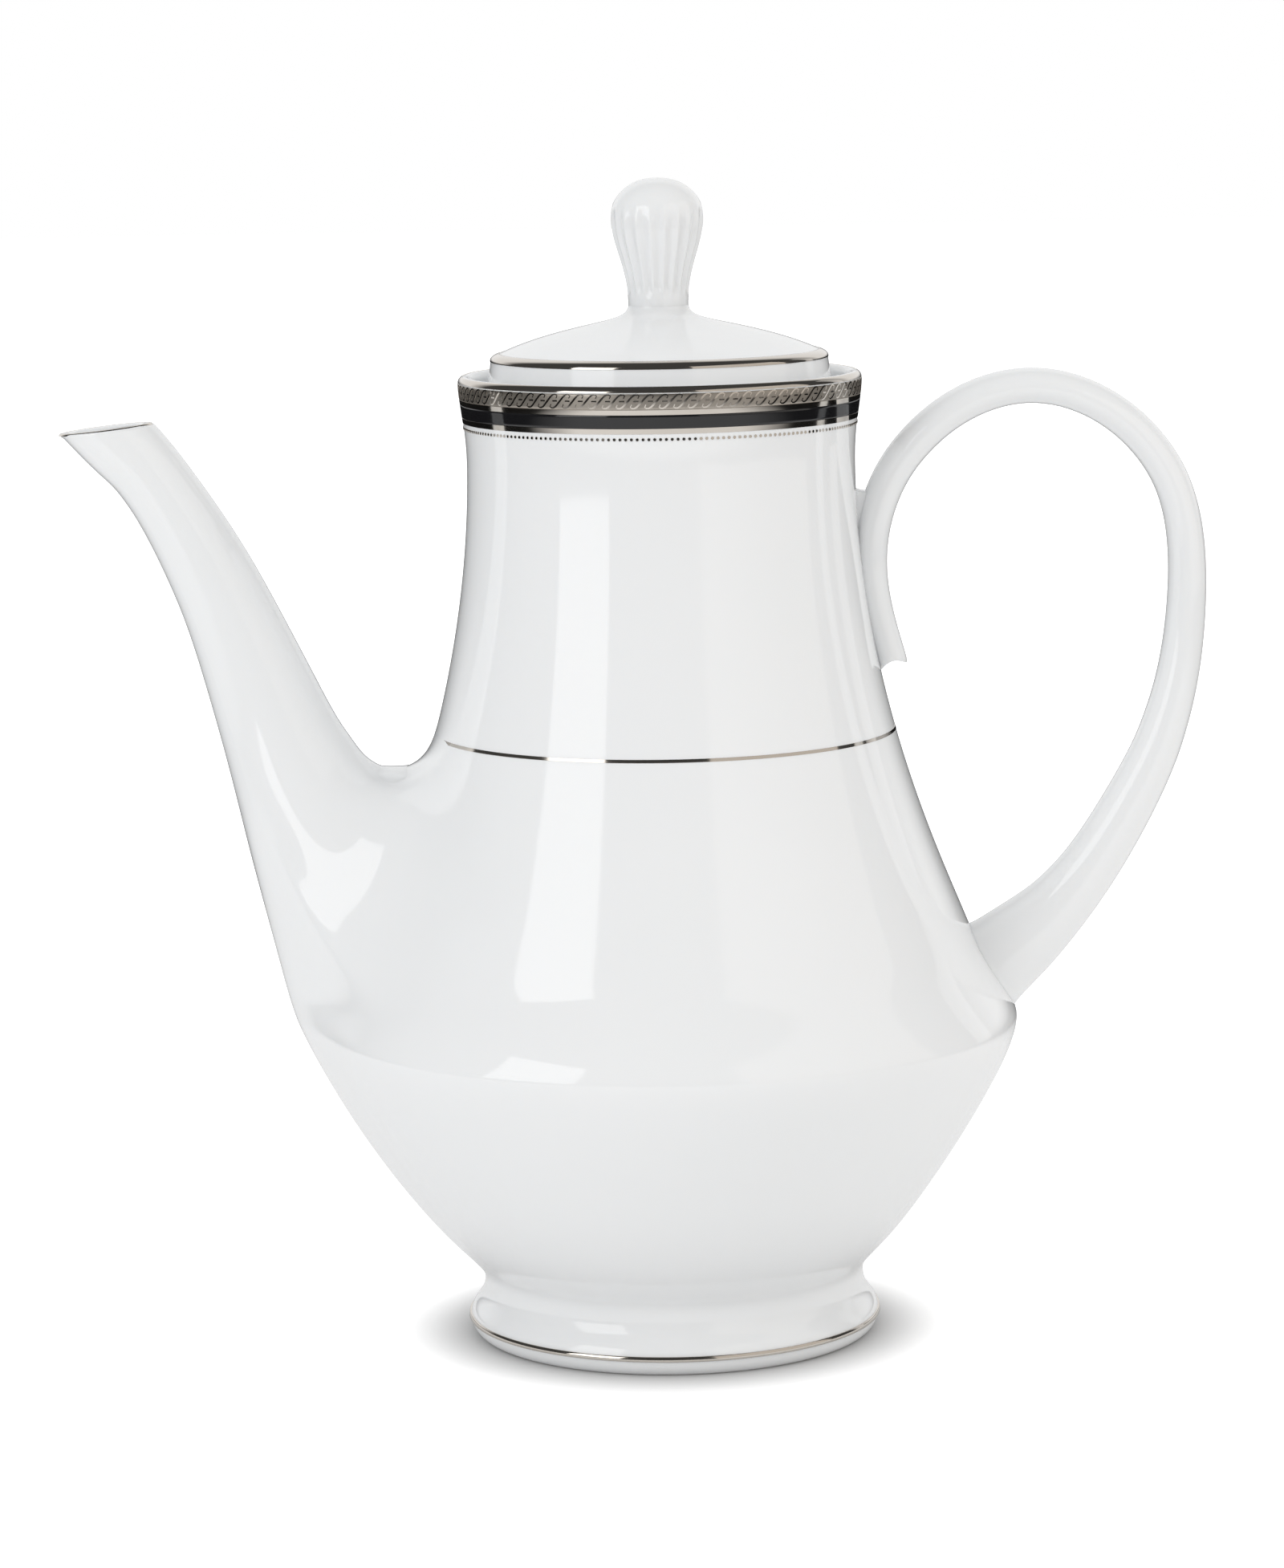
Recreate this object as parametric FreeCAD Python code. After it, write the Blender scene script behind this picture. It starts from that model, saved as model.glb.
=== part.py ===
import FreeCAD, Part
import math
import os

# Footed porcelain coffee pot with a lift-off lid. Millimetres, +Z up, spout towards -X, handle towards +X.
# The origin is on the table, under the middle of the foot.

# Foot
foot_radius = 44.7           # widest roll of the foot
foot_roll_z = 3.9            # height of that roll
tread_radius = 42.5          # outer edge of the flat ring that meets the table
tread_width = 3.0
foot_wall = 5.0              # thickness of the foot where it joins the body
waist_radius = 41.3
waist_z = 12.9

# Body outline
belly_radius = 75.3
belly_z = 68.8
neck_radius = 41.45
neck_z = 189.5
rim_radius = 43.0
rim_z = 208.7
wall = 3.6
floor_thickness = 4.5

# Mouth and the stepped seat of the lid
lip_thickness = 3.0
seat_z = 203.3
seat_thickness = 3.0
seat_width = 4.0             # step that carries the lid
lid_clearance = 0.6          # all round the lid, in the mouth and in the seat

# Lid
lid_edge_inset = 4.0         # from the mouth's wall to the edge of the dome
lid_edge_z = 211.7
lid_edge_round = 2.0
lid_edge_rise = 1.6          # from the edge to the start of the dome
drum_inset = 3.0             # from the mouth's wall to the foot of the drum, above the flange
flange_height = 2.4
collar_depth = 11.5
lid_wall = 3.0
vent_radius = 1.5
vent_offset = 20.0           # from the middle of the lid, on the side away from the front

# Knob
knob_neck_radius = 6.4
knob_base_z = 223.0
knob_radius = 9.9
knob_widest_z = 241.7
knob_top_z = 249.9
flute_count = 20
flute_depth = 0.5
flute_top_radius = 1.7
flute_foot_radius = 1.0

# Spout
spout_wall = 2.6
spout_reach = 128.8          # tip of the lip, from the axis
spout_tip_z = 197.7
mouth_length = 20.5
mouth_width = 16.5
mouth_tilt = 2.2             # the back of the mouth stands higher than the tip
crotch_z = 124.2             # lowest point between spout and neck
crotch_gap = 7.0             # from the neck to that point
crotch_width = 34.0
underside_z = 104.2          # where the underside begins to close on the belly
underside_gap = 31.5         # from the body to the underside there
ridge_rise = 5.3             # ridge that carries the underside on down the belly
ridge_width = 46.0           # across the flare that meets the belly
keel_z = 52.0                # the same ridge, lower down
keel_rise = 3.9
keel_width = 42.0
keel_foot_z = 34.0
keel_foot_rise = 3.2
keel_foot_width = 38.0
keel_end_z = 17.0
keel_end_rise = 2.0
keel_end_width = 34.0
pour_hole_z = 95.0
pour_hole_height = 36.0
pour_hole_width = 26.0

# Handle
handle_reach = 116.7         # outer edge of the loop, from the axis
handle_reach_z = 160.6
handle_top_z = 208.9
handle_top_x = 80.3
grip_thickness = 8.4
grip_width = 11.5
crown_thickness = 7.8
tail_tip_z = 144.6
tail_tip_lift = 3.0          # middle of the tail's tip, out from the neck
tail_scoop = 3.5             # radius of the hollow in the tail's end
tail_seat_z = 167.5          # where the tail hugs the neck
tail_seat_lift = 1.7
tail_thickness = 7.4
tail_width = 9.6
web_top_z = 184.0            # top of the web between the tail and the neck
web_reach = 5.0
web_width = 5.0
heel_z = 82.3                # root of the handle on the belly
heel_lift = 5.5
heel_thickness = 19.0
heel_width = 17.0
heel_sink = 13.0             # how far the centre line runs on inside the belly
heel_spread = 1.2            # growth of the section over that run

# Joints between the mouldings, and the fired-on layers
slip_gap = 0.15
layer_gap = 0.1
layer = 0.12
edge_bottom_z = 207.4        # lower edge of the bright lip, above the frieze
edge_wrap = 65.0             # degrees the bright lip runs up over the rounded edge
frieze_bottom_z = 203.9
upper_stripe_bottom_z = 202.8
black_bottom_z = 200.0
lower_stripe_bottom_z = 198.85
neck_line_z = 132.0
neck_line_width = 0.7
foot_line_z = 2.8
foot_line_width = 1.0
lip_line_margin = 0.15       # from the edges of the spout's lip
lip_line_height = 0.25

UP = FreeCAD.Vector(0, 0, 1)
OUT = FreeCAD.Vector(1, 0, 0)
ACROSS = FreeCAD.Vector(0, 1, 0)
ORIGIN = FreeCAD.Vector(0, 0, 0)


def at(x, z):
    """A point of the drawing plane, which holds the axis, the spout and the handle."""
    return FreeCAD.Vector(x, 0, z)


def share(start, end, wide, tall):
    """A point between start and end, by its share of the way across and of the way up."""
    return at(start.x + (end.x - start.x) * wide, start.z + (end.z - start.z) * tall)


def through(points):
    """A smooth curve through points."""
    curve = Part.BSplineCurve()
    curve.interpolate(Points=points)
    return curve


def drawn(poles):
    """A smooth curve that its control points pull into shape."""
    curve = Part.BSplineCurve()
    curve.buildFromPoles(poles, False, 3)
    return curve


def line(start, end):
    return Part.LineSegment(start, end).toShape()


def chain(points):
    """Straight edges from each point to the next."""
    return [line(a, b) for a, b in zip(points, points[1:])]


def turned(edges):
    """The solid that a closed outline makes when it is turned about the axis."""
    return Part.Face(Part.Wire(edges)).revolve(ORIGIN, UP, 360)


# Control points of the turned outlines, as shares of a stretch's width and height
COVE_SHAPE = [(0, 0.2), (0.85, 0.45), (1, 0.75)]
BOWL_SHAPE = [(0, 0.052), (0.17, 0.104), (0.768, 0.643), (1, 0.932)]
SHOULDER_SHAPE = [(0, 0.021), (0.264, 0.13), (0.282, 0.154), (0.78, 0.483), (1, 0.825)]
THROAT_SHAPE = [(0, 0.45), (1, 0.75)]
DOME_SHAPE = [(0.01, 0.15), (0.1, 0.29), (0.45, 0.48), (0.82, 0.77)]
DRUM_SHAPE = [(0.3, 0.4), (0.6, 0.8)]
KNOB_SIDE_SHAPE = [(0, 0.2), (0.45, 0.55), (1, 0.82)]
KNOB_CROWN_SHAPE = [(0, 0.4), (0.4, 0.92), (0.75, 1)]

# Middle points of the rounded edges, as shares of the edge's width and height
FOOT_ROLL_MIDDLE = (0.72, 0.38)
LID_ROUND_MIDDLE = (0.78, 0.42)

# Points that carry the inner face of one stretch of wall
WALL_POINTS = 12


def stretch(low, high, shape):
    """One stretch of turned outline between two points."""
    return drawn([low] + [share(low, high, wide, tall) for wide, tall in shape] + [high])


lip_z = rim_z - lip_thickness / 2
lip_radius = rim_radius - lip_thickness / 2
mouth_radius = rim_radius - lip_thickness
seat_radius = mouth_radius - seat_width
lid_edge_radius = mouth_radius - lid_edge_inset
drum_radius = mouth_radius - drum_inset


def body_curves(extra=0.0):
    """Bowl, shoulder and throat of the outer outline, moved out by extra."""
    waist = at(waist_radius + extra, waist_z)
    belly = at(belly_radius + extra, belly_z)
    neck = at(neck_radius + extra, neck_z)
    rim = at(rim_radius + extra, lip_z)
    bowl = stretch(waist, belly, BOWL_SHAPE)
    shoulder = stretch(belly, neck, SHOULDER_SHAPE)
    return bowl, shoulder, stretch(neck, rim, THROAT_SHAPE)


BOWL, SHOULDER, THROAT = body_curves()


def parameter_at(curve, height_of, z):
    """The curve's parameter where height_of reaches z, for a height that grows along the curve."""
    low, high = curve.FirstParameter, curve.LastParameter
    for _ in range(50):
        middle = (low + high) / 2
        if height_of(middle) < z:
            low = middle
        else:
            high = middle
    return (low + high) / 2


def outline_at(z):
    """The stretch of the body's outline that passes height z, and its parameter there."""
    curve = BOWL if z < belly_z else SHOULDER if z < neck_z else THROAT
    return curve, parameter_at(curve, lambda t: curve.value(t).z, z)


def radius_at(z):
    """Outer radius of the body at height z."""
    curve, t = outline_at(z)
    return curve.value(t).x


def off_curve(curve, t, lift):
    """The point that lies square out from the curve by lift."""
    tangent = curve.tangent(t)[0]
    return curve.value(t) + at(tangent.z, -tangent.x) * lift


def filled_body(extra=0.0):
    """The body as one solid without its hollow, moved out by extra."""
    curves = [curve.toShape() for curve in body_curves(extra)]
    outer = at(rim_radius + extra, lip_z)
    inner = at(mouth_radius, lip_z)
    lip = Part.Arc(outer, at(lip_radius, rim_z + extra), inner).toShape()
    corners = [inner, at(0, lip_z), at(0, waist_z), at(waist_radius + extra, waist_z)]
    return turned(curves + [lip] + chain(corners))


def inset_curve(curve, start):
    """The inner face of a stretch of wall, from parameter start to the curve's end."""
    step = (curve.LastParameter - start) / WALL_POINTS
    return through([off_curve(curve, start + step * i, -wall) for i in range(WALL_POINTS + 1)])


def hollow():
    """The space inside the body: bowl, neck, the step that carries the lid, and the mouth."""
    floor_z = waist_z + floor_thickness
    start = parameter_at(BOWL, lambda t: off_curve(BOWL, t, -wall).z, floor_z)
    bowl = inset_curve(BOWL, start)
    shoulder = inset_curve(SHOULDER, SHOULDER.FirstParameter)
    above = rim_z + lip_thickness
    corners = [
        shoulder.EndPoint,
        at(seat_radius, seat_z - seat_thickness),
        at(seat_radius, seat_z),
        at(mouth_radius, seat_z),
        at(mouth_radius, above),
        at(0, above),
        at(0, floor_z),
        bowl.StartPoint,
    ]
    return turned([bowl.toShape(), shoulder.toShape()] + chain(corners))


def pour_hole():
    """Oval hole through the body's wall, behind the spout's root."""
    reach = belly_radius + ridge_rise
    top = at(-reach, pour_hole_z + pour_hole_height / 2)
    bottom = at(-reach, pour_hole_z - pour_hole_height / 2)
    return Part.Face(oval(top, bottom, pour_hole_width)).extrude(OUT * (reach - seat_radius / 2))


# Reach of the control points that make two cubic spans run as a half ellipse
ROUND = 0.5523
HALF_OVAL = [(-1, 0), (-1, ROUND), (-ROUND, 1), (0, 1), (ROUND, 1), (1, ROUND), (1, 0)]


def oval(upper, lower, width, inset=0.0):
    """An oval outline in two halves. Its length runs from upper to lower in the drawing plane."""
    middle = (upper + lower) * 0.5
    along = (lower - upper) * 0.5
    along = along * (1 - inset / along.Length)
    across = ACROSS * (width / 2 - inset)
    halves = []
    for side in (1, -1):
        poles = [middle + (along * down + across * out) * side for down, out in HALF_OVAL]
        half = Part.BSplineCurve()
        half.buildFromPolesMultsKnots(poles, [4, 3, 4], [0, 1, 2], False, 3)
        halves.append(half.toShape())
    return Part.Wire(halves)


def foot_roll():
    """Three points of the arc that rounds the foot, from the tread to its widest roll."""
    tread = at(tread_radius, 0)
    roll = at(foot_radius, foot_roll_z)
    return [tread, share(tread, roll, *FOOT_ROLL_MIDDLE), roll]


def foot_ring():
    """Rolled foot with a cove up to the waist, hollow underneath."""
    points = foot_roll()
    waist = at(waist_radius, waist_z)
    cove = stretch(points[-1], waist, COVE_SHAPE)
    corners = [waist, at(waist_radius - foot_wall, waist_z), at(tread_radius - tread_width, 0), points[0]]
    return turned([Part.Arc(*points).toShape(), cove.toShape()] + chain(corners))


# Spout sections between mouth and crotch: shares of the upper edge, the lower edge and the width
SPOUT_SHAPE = [
    ((0.021, 0.015), (0.065, 0.031), 0.01),
    ((0.150, 0.125), (0.306, 0.130), 0.03),
    ((0.372, 0.348), (0.566, 0.329), 0.07),
    ((0.546, 0.563), (0.704, 0.491), 0.15),
    ((0.696, 0.764), (0.820, 0.671), 0.30),
    ((0.834, 0.919), (0.896, 0.809), 0.58),
]


def left_of_body(z, gap):
    """A point of the spout's outline, out from the body by gap."""
    return at(-radius_at(z) - gap, z)


def spout_stations():
    """Upper point, lower point and width of each section, from the mouth to inside the belly."""
    mouth_back = at(mouth_length - spout_reach, spout_tip_z + mouth_tilt)
    tip = at(-spout_reach, spout_tip_z)
    crotch = left_of_body(crotch_z, crotch_gap)
    underside = left_of_body(underside_z, underside_gap)
    root_top = left_of_body(crotch_z + crotch_gap / 2, 0)
    stations = [(mouth_back, tip, mouth_width)]
    for above, below, wide in SPOUT_SHAPE:
        width = mouth_width + (crotch_width - mouth_width) * wide
        stations.append((share(mouth_back, crotch, *above), share(tip, underside, *below), width))
    stations.append((crotch, underside, crotch_width))
    stations.append((root_top, left_of_body(belly_z, ridge_rise), ridge_width))
    stations.append((root_top + at(wall, 0), left_of_body(keel_z, keel_rise), keel_width))
    stations.append((root_top + at(2 * wall, 0), left_of_body(keel_foot_z, keel_foot_rise), keel_foot_width))
    stations.append((root_top + at(3 * wall, 0), left_of_body(keel_end_z, keel_end_rise), keel_end_width))
    return stations


def spout_form(inset=0.0):
    """The spout's horn as a solid, or the channel inside it where inset is the wall."""
    return Part.makeLoft([oval(*station, inset) for station in spout_stations()], True, False)


def handle_stations():
    """Centre, thickness and width along the handle: tail on the neck, crown, grip, heel in the belly."""
    tail_tip = at(radius_at(tail_tip_z) + tail_tip_lift, tail_tip_z)
    tail_seat = at(radius_at(tail_seat_z) + tail_seat_lift, tail_seat_z)
    crown = at(handle_top_x, handle_top_z - crown_thickness / 2)
    grip = at(handle_reach - grip_thickness / 2, handle_reach_z)
    heel = at(radius_at(heel_z) + heel_lift, heel_z)
    swell = heel_thickness - grip_thickness
    spread = heel_width - grip_width
    return [
        (tail_tip, tail_thickness, tail_width),
        (tail_seat, tail_thickness, tail_width),
        (share(tail_seat, crown, 0.2, 0.6), crown_thickness, grip_width),
        (crown, crown_thickness, grip_width),
        (share(crown, grip, 0.84, 0.415), crown_thickness, grip_width),
        (grip, grip_thickness, grip_width),
        (share(grip, heel, 0.153, 0.413), grip_thickness + swell * 0.17, grip_width),
        (share(grip, heel, 0.345, 0.609), grip_thickness + swell * 0.3, grip_width + spread * 0.15),
        (share(grip, heel, 0.688, 0.858), grip_thickness + swell * 0.53, grip_width + spread * 0.4),
        (heel, heel_thickness, heel_width),
        (heel - at(heel_sink, heel_sink), heel_thickness * heel_spread, heel_width * heel_spread),
    ]


def handle_loop(stations):
    """The handle's bar, as ovals set square to its centre line."""
    spine = through([centre for centre, _, _ in stations])
    sections = []
    for centre, thickness, width in stations:
        tangent = spine.tangent(spine.parameter(centre))[0]
        side = at(-tangent.z, tangent.x) * (thickness / 2)
        sections.append(oval(centre + side, centre - side, width))
    return Part.makeLoft(sections, True, False)


def tail_web():
    """The web that fills the crook between the tail and the neck, with a hollowed top."""
    inner = radius_at(tail_seat_z) - wall / 2
    outer = radius_at(web_top_z) + web_reach
    corners = [at(inner, web_top_z), at(inner, tail_seat_z), at(outer, tail_seat_z), at(outer, web_top_z)]
    dip = at((inner + outer) / 2, web_top_z - web_reach / 4)
    top = Part.Arc(corners[-1], dip, corners[0]).toShape()
    web = Part.Face(Part.Wire(chain(corners) + [top])).extrude(ACROSS * web_width)
    web.translate(ACROSS * (-web_width / 2))
    return web


def handle_form():
    """The whole handle, before it is fitted to the body."""
    stations = handle_stations()
    tip, seat = stations[0][0], stations[1][0]
    down = (tip - seat).normalize()
    scoop_start = tip + down * (tail_scoop * 0.75) - ACROSS * tail_width
    scoop = Part.makeCylinder(tail_scoop, 2 * tail_width, scoop_start, ACROSS)
    return handle_loop(stations).fuse(tail_web()).cut(scoop)


def lid_dome():
    """Outer curve of the lid's dome, from the knob's seat to the rounded edge."""
    seat = at(knob_neck_radius, knob_base_z)
    edge = at(lid_edge_radius - lid_edge_round, lid_edge_z + lid_edge_rise)
    return stretch(seat, edge, DOME_SHAPE)


def lid_round():
    """Three points of the arc over the lid's edge, from the dome to the drum."""
    start = lid_dome().EndPoint
    edge = at(lid_edge_radius, lid_edge_z)
    return [start, share(start, edge, *LID_ROUND_MIDDLE), edge]


def lid_solid():
    """Domed lid: drum and flange that sit on the step, and the collar that keeps it from sliding off."""
    dome = lid_dome()
    edge = at(lid_edge_radius, lid_edge_z)
    flange_top = seat_z + flange_height
    drum_foot = at(drum_radius, flange_top)
    flange_radius = mouth_radius - lid_clearance
    collar_radius = seat_radius - lid_clearance
    bore = collar_radius - lid_wall
    crown = at(0, knob_base_z - 2 * lid_wall)
    shoulder = at(bore, lid_edge_z - lid_wall)
    corners = [
        drum_foot,
        at(flange_radius, flange_top),
        at(flange_radius, seat_z),
        at(collar_radius, seat_z),
        at(collar_radius, seat_z - collar_depth),
        at(bore, seat_z - collar_depth),
        shoulder,
    ]
    haunch = [at(bore, lid_edge_z), at(bore * 0.7, lid_edge_z), at(bore * 0.2, crown.z)]
    ceiling = drawn([shoulder] + haunch + [crown])
    drum = stretch(edge, drum_foot, DRUM_SHAPE)
    edges = [dome.toShape(), Part.Arc(*lid_round()).toShape(), drum.toShape()]
    edges += chain(corners) + [ceiling.toShape()]
    edges += chain([crown, at(0, knob_base_z), dome.StartPoint])
    vent = Part.makeCylinder(vent_radius, knob_base_z, FreeCAD.Vector(0, vent_offset, seat_z))
    return turned(edges).cut(vent)


def knob_solid():
    """Turned knob with flutes that run from its foot and fade out under the crown."""
    base = at(knob_neck_radius, knob_base_z)
    widest = at(knob_radius, knob_widest_z)
    top = at(0, knob_top_z)
    side = stretch(base, widest, KNOB_SIDE_SHAPE)
    crown = stretch(widest, top, KNOB_CROWN_SHAPE)
    knob = turned([side.toShape(), crown.toShape()] + chain([top, at(0, knob_base_z), base]))
    start = base + at(flute_foot_radius - flute_depth / 2, 0)
    end = widest + at(flute_top_radius - flute_depth, 0)
    run = (end - start).Length
    flute = Part.makeCone(flute_foot_radius, flute_top_radius, run, start, end - start)
    end_ball = Part.makeSphere(flute_top_radius, end)
    cutters = []
    for i in range(flute_count):
        for shape in (flute, end_ball):
            cutter = shape.copy()
            cutter.rotate(ORIGIN, UP, 360 * i / flute_count)
            cutters.append(cutter)
    return knob.cut(cutters)


def body_layer(low_z, high_z):
    """A fired-on ring that follows the body between two heights."""
    near = [off_curve(*outline_at(z), layer_gap) for z in (low_z, high_z)]
    far = [off_curve(*outline_at(z), layer_gap + layer) for z in (high_z, low_z)]
    return turned(chain(near + far + near[:1]))


def round_layer(points):
    """A fired-on ring over a rounded edge, which three points of its arc give."""
    centre = Part.Circle(*points).Center
    outward = [(point - centre).normalize() for point in points]
    near = [point + way * layer_gap for point, way in zip(points, outward)]
    far = [point + way * (layer_gap + layer) for point, way in zip(points, outward)]
    edges = [Part.Arc(*near).toShape(), line(near[-1], far[-1])]
    edges += [Part.Arc(*reversed(far)).toShape(), line(far[0], near[0])]
    return turned(edges)


def lip_points():
    """Three points of the mouth's rounded lip, from the frieze up and over."""
    start = math.asin((edge_bottom_z - lip_z) / (lip_thickness / 2))
    end = math.radians(edge_wrap)
    turns = [start, (start + end) / 2, end]
    return [at(lip_radius, lip_z) + at(math.cos(a), math.sin(a)) * (lip_thickness / 2) for a in turns]


def foot_line_points():
    """Three points of the foot's roll, across the width of its line."""
    roll = Part.Circle(*foot_roll())
    points = []
    for height in (foot_line_z - foot_line_width / 2, foot_line_z, foot_line_z + foot_line_width / 2):
        rise = height - roll.Center.z
        points.append(at(roll.Center.x + math.sqrt(roll.Radius ** 2 - rise ** 2), height))
    return points


def spout_lip_line():
    """A fired-on oval ring on the lip of the spout."""
    upper, lower, width = spout_stations()[0]
    along = (upper - lower).normalize()
    up = at(-along.z, along.x)
    outer = Part.Face(oval(upper, lower, width, lip_line_margin))
    inner = Part.Face(oval(upper, lower, width, spout_wall - lip_line_margin))
    ring = outer.cut(inner).extrude(up * lip_line_height)
    ring.translate(up * layer_gap)
    return ring


def export(name, shape):
    shape.exportStep("parts/" + name + ".step")
    print(name, shape.ShapeType, len(shape.Solids), shape.isValid(), round(shape.Volume / 1000, 2), "cm3")


os.makedirs("parts", exist_ok=True)
seat_form = filled_body(slip_gap)
export("pot_body", filled_body().cut(hollow()).cut(pour_hole()))
export("foot_ring", foot_ring())
export("spout", spout_form().cut(spout_form(spout_wall)).cut(seat_form))
export("handle", handle_form().cut(seat_form))
export("lid", lid_solid())
export("lid_knob", knob_solid())
export("rim_edge", round_layer(lip_points()))
export("rim_frieze", body_layer(frieze_bottom_z, edge_bottom_z))
export("rim_stripe_upper", body_layer(upper_stripe_bottom_z, frieze_bottom_z))
export("rim_black_band", body_layer(black_bottom_z, upper_stripe_bottom_z))
export("rim_stripe_lower", body_layer(lower_stripe_bottom_z, black_bottom_z))
export("neck_line", body_layer(neck_line_z - neck_line_width / 2, neck_line_z + neck_line_width / 2))
export("foot_line", round_layer(foot_line_points()))
export("spout_lip_line", spout_lip_line())
export("lid_line", round_layer(lid_round()))
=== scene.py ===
import logging
import math
from bisect import bisect_left
from collections.abc import Callable, Sequence
from dataclasses import dataclass, field
from enum import Enum
from functools import cached_property
from typing import Protocol

import bmesh
import bpy
from mathutils import Matrix, Vector


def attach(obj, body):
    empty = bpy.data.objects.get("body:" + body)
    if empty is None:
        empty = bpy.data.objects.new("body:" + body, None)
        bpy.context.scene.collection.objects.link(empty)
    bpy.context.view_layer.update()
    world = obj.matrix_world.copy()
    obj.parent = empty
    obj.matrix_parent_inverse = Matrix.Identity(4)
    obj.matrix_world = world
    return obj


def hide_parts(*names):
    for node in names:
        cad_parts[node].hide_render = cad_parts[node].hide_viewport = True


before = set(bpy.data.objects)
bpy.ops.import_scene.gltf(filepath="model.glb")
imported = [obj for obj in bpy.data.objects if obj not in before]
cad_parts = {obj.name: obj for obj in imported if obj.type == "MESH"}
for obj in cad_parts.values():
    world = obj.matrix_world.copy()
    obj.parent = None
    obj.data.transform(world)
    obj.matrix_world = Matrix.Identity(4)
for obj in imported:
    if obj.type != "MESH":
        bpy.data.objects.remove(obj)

logging.basicConfig(level=logging.INFO, format="%(message)s")
LOG = logging.getLogger("coffee_pot")

# Lengths are in millimetres, +Z up, spout towards -X. A mesh is turned into metres as it is finished.
MM = 0.001
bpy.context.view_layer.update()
# Points of a mesh that are no further apart than this are one point
TOUCHING = 0.001

Row = tuple[float, ...]
Shape = Sequence[tuple[float, float]]
Placer = Callable[[bmesh.types.BMVert], Vector]
Edges = Sequence[bmesh.types.BMEdge]
Layer = bmesh.types.BMLayerItem
Piece = bpy.types.Object


class Body(str, Enum):
    """Bodies of the frame that pieces ride on."""

    POT = "pot"
    LID = "lid"


class Slot(str, Enum):
    """Material slots of the frame."""

    PORCELAIN = "porcelain"
    BRIGHT = "platinum_bright"
    SATIN = "platinum_satin"
    BLACK = "black_enamel"


# Finishes

# Nearly all values of a noise texture lie between these two
NOISE_SPREAD = (0.3, 0.7)
# How deep light scatters under a glaze in millimetres, and the share of it for red, green and blue
GLOW_DEPTH = 2.0
GLOW_TINT = (1.0, 0.9, 0.8)


def linear(code: str) -> tuple[float, float, float, float]:
    """Turn an sRGB hex colour into the linear colour that a socket takes.

    Args:
        code: six hex digits after a hash sign.

    Returns:
        Red, green, blue and alpha in linear light.
    """
    parts = [int(code[i:i + 2], 16) / 255 for i in (1, 3, 5)]
    red, green, blue = (v / 12.92 if v <= 0.04045 else ((v + 0.055) / 1.055) ** 2.4 for v in parts)
    return red, green, blue, 1.0


def add_node(tree: bpy.types.NodeTree, kind: str, inputs: dict[str | int, object] | None = None,
             **settings: object) -> bpy.types.Node:
    """Add one node, set its options, and set or link its inputs.

    Args:
        tree: node tree that the node goes into.
        kind: node type, without the ShaderNode prefix.
        inputs: value or output socket for each named input.
        settings: options of the node itself.

    Returns:
        The new node.
    """
    node = tree.nodes.new("ShaderNode" + kind)
    for name, value in settings.items():
        setattr(node, name, value)
    for name, value in (inputs or {}).items():
        if isinstance(value, bpy.types.NodeSocket):
            tree.links.new(value, node.inputs[name])
        else:
            node.inputs[name].default_value = value
    return node


def per_metre(size: float) -> float:
    """Return the noise scale, on coordinates in metres, whose features are this many millimetres across."""
    return 1.0 / (size * MM)


@dataclass(frozen=True)
class Finish:
    """A surface that is mottled, rippled and more or less polished.

    Attributes:
        name: name of the real material.
        light: colour of the lighter patches.
        dark: colour of the darker patches.
        patch: size of those patches in millimetres.
        ripple: size of the ripples in the surface in millimetres.
        ripple_depth: height of the ripples in millimetres.
        polish: lowest and highest roughness.
        metallic: one for a metal film.
        glow: share of light that scatters under the surface.
        ior: refractive index, for glassy surfaces.
    """

    name: str
    light: str
    dark: str
    patch: float
    ripple: float
    ripple_depth: float
    polish: tuple[float, float]
    metallic: float = 0.0
    glow: float = 0.0
    ior: float | None = None

    def material(self) -> bpy.types.Material:
        """Build the material once and hand out the same one after that.

        Returns:
            The material.
        """
        known = bpy.data.materials.get(self.name)
        if known:
            return known
        material = bpy.data.materials.new(self.name)
        material.use_nodes = True
        tree = material.node_tree
        tree.nodes.clear()
        place = add_node(tree, "TexCoord").outputs["Object"]
        patch = add_node(tree, "TexNoise", {"Vector": place, "Scale": per_metre(self.patch),
                                            "Detail": 3.0})
        ripple = add_node(tree, "TexNoise", {"Vector": place, "Scale": per_metre(self.ripple),
                                             "Detail": 2.0})
        colour = add_node(tree, "Mix", {"Factor": patch.outputs["Fac"], 6: linear(self.light),
                                        7: linear(self.dark)}, data_type="RGBA")
        rough = add_node(tree, "MapRange", {
            "Value": patch.outputs["Fac"], "From Min": NOISE_SPREAD[0], "From Max": NOISE_SPREAD[1],
            "To Min": self.polish[0], "To Max": self.polish[1]})
        bump = add_node(tree, "Bump", {"Height": ripple.outputs["Fac"], "Strength": 1.0,
                                       "Distance": self.ripple_depth * MM})
        shader = add_node(tree, "BsdfPrincipled", {
            "Base Color": colour.outputs[2], "Roughness": rough.outputs["Result"],
            "Normal": bump.outputs["Normal"], "Metallic": self.metallic})
        if self.ior:
            shader.inputs["IOR"].default_value = self.ior
        if self.glow:
            shader.inputs["Subsurface Weight"].default_value = self.glow
            shader.inputs["Subsurface Radius"].default_value = GLOW_TINT
            shader.inputs["Subsurface Scale"].default_value = GLOW_DEPTH * MM
        add_node(tree, "OutputMaterial", {"Surface": shader.outputs["BSDF"]})
        return material


# Slip-cast white porcelain, dipped in clear glaze that levels to a faint orange peel in the kiln, so that
# highlights are sharp but waver a little
PORCELAIN = Finish("glazed white porcelain", "#F0F1F2", "#EBEDEE", 60, 7, 0.004, (0.05, 0.09),
                   glow=0.12, ior=1.52)
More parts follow.
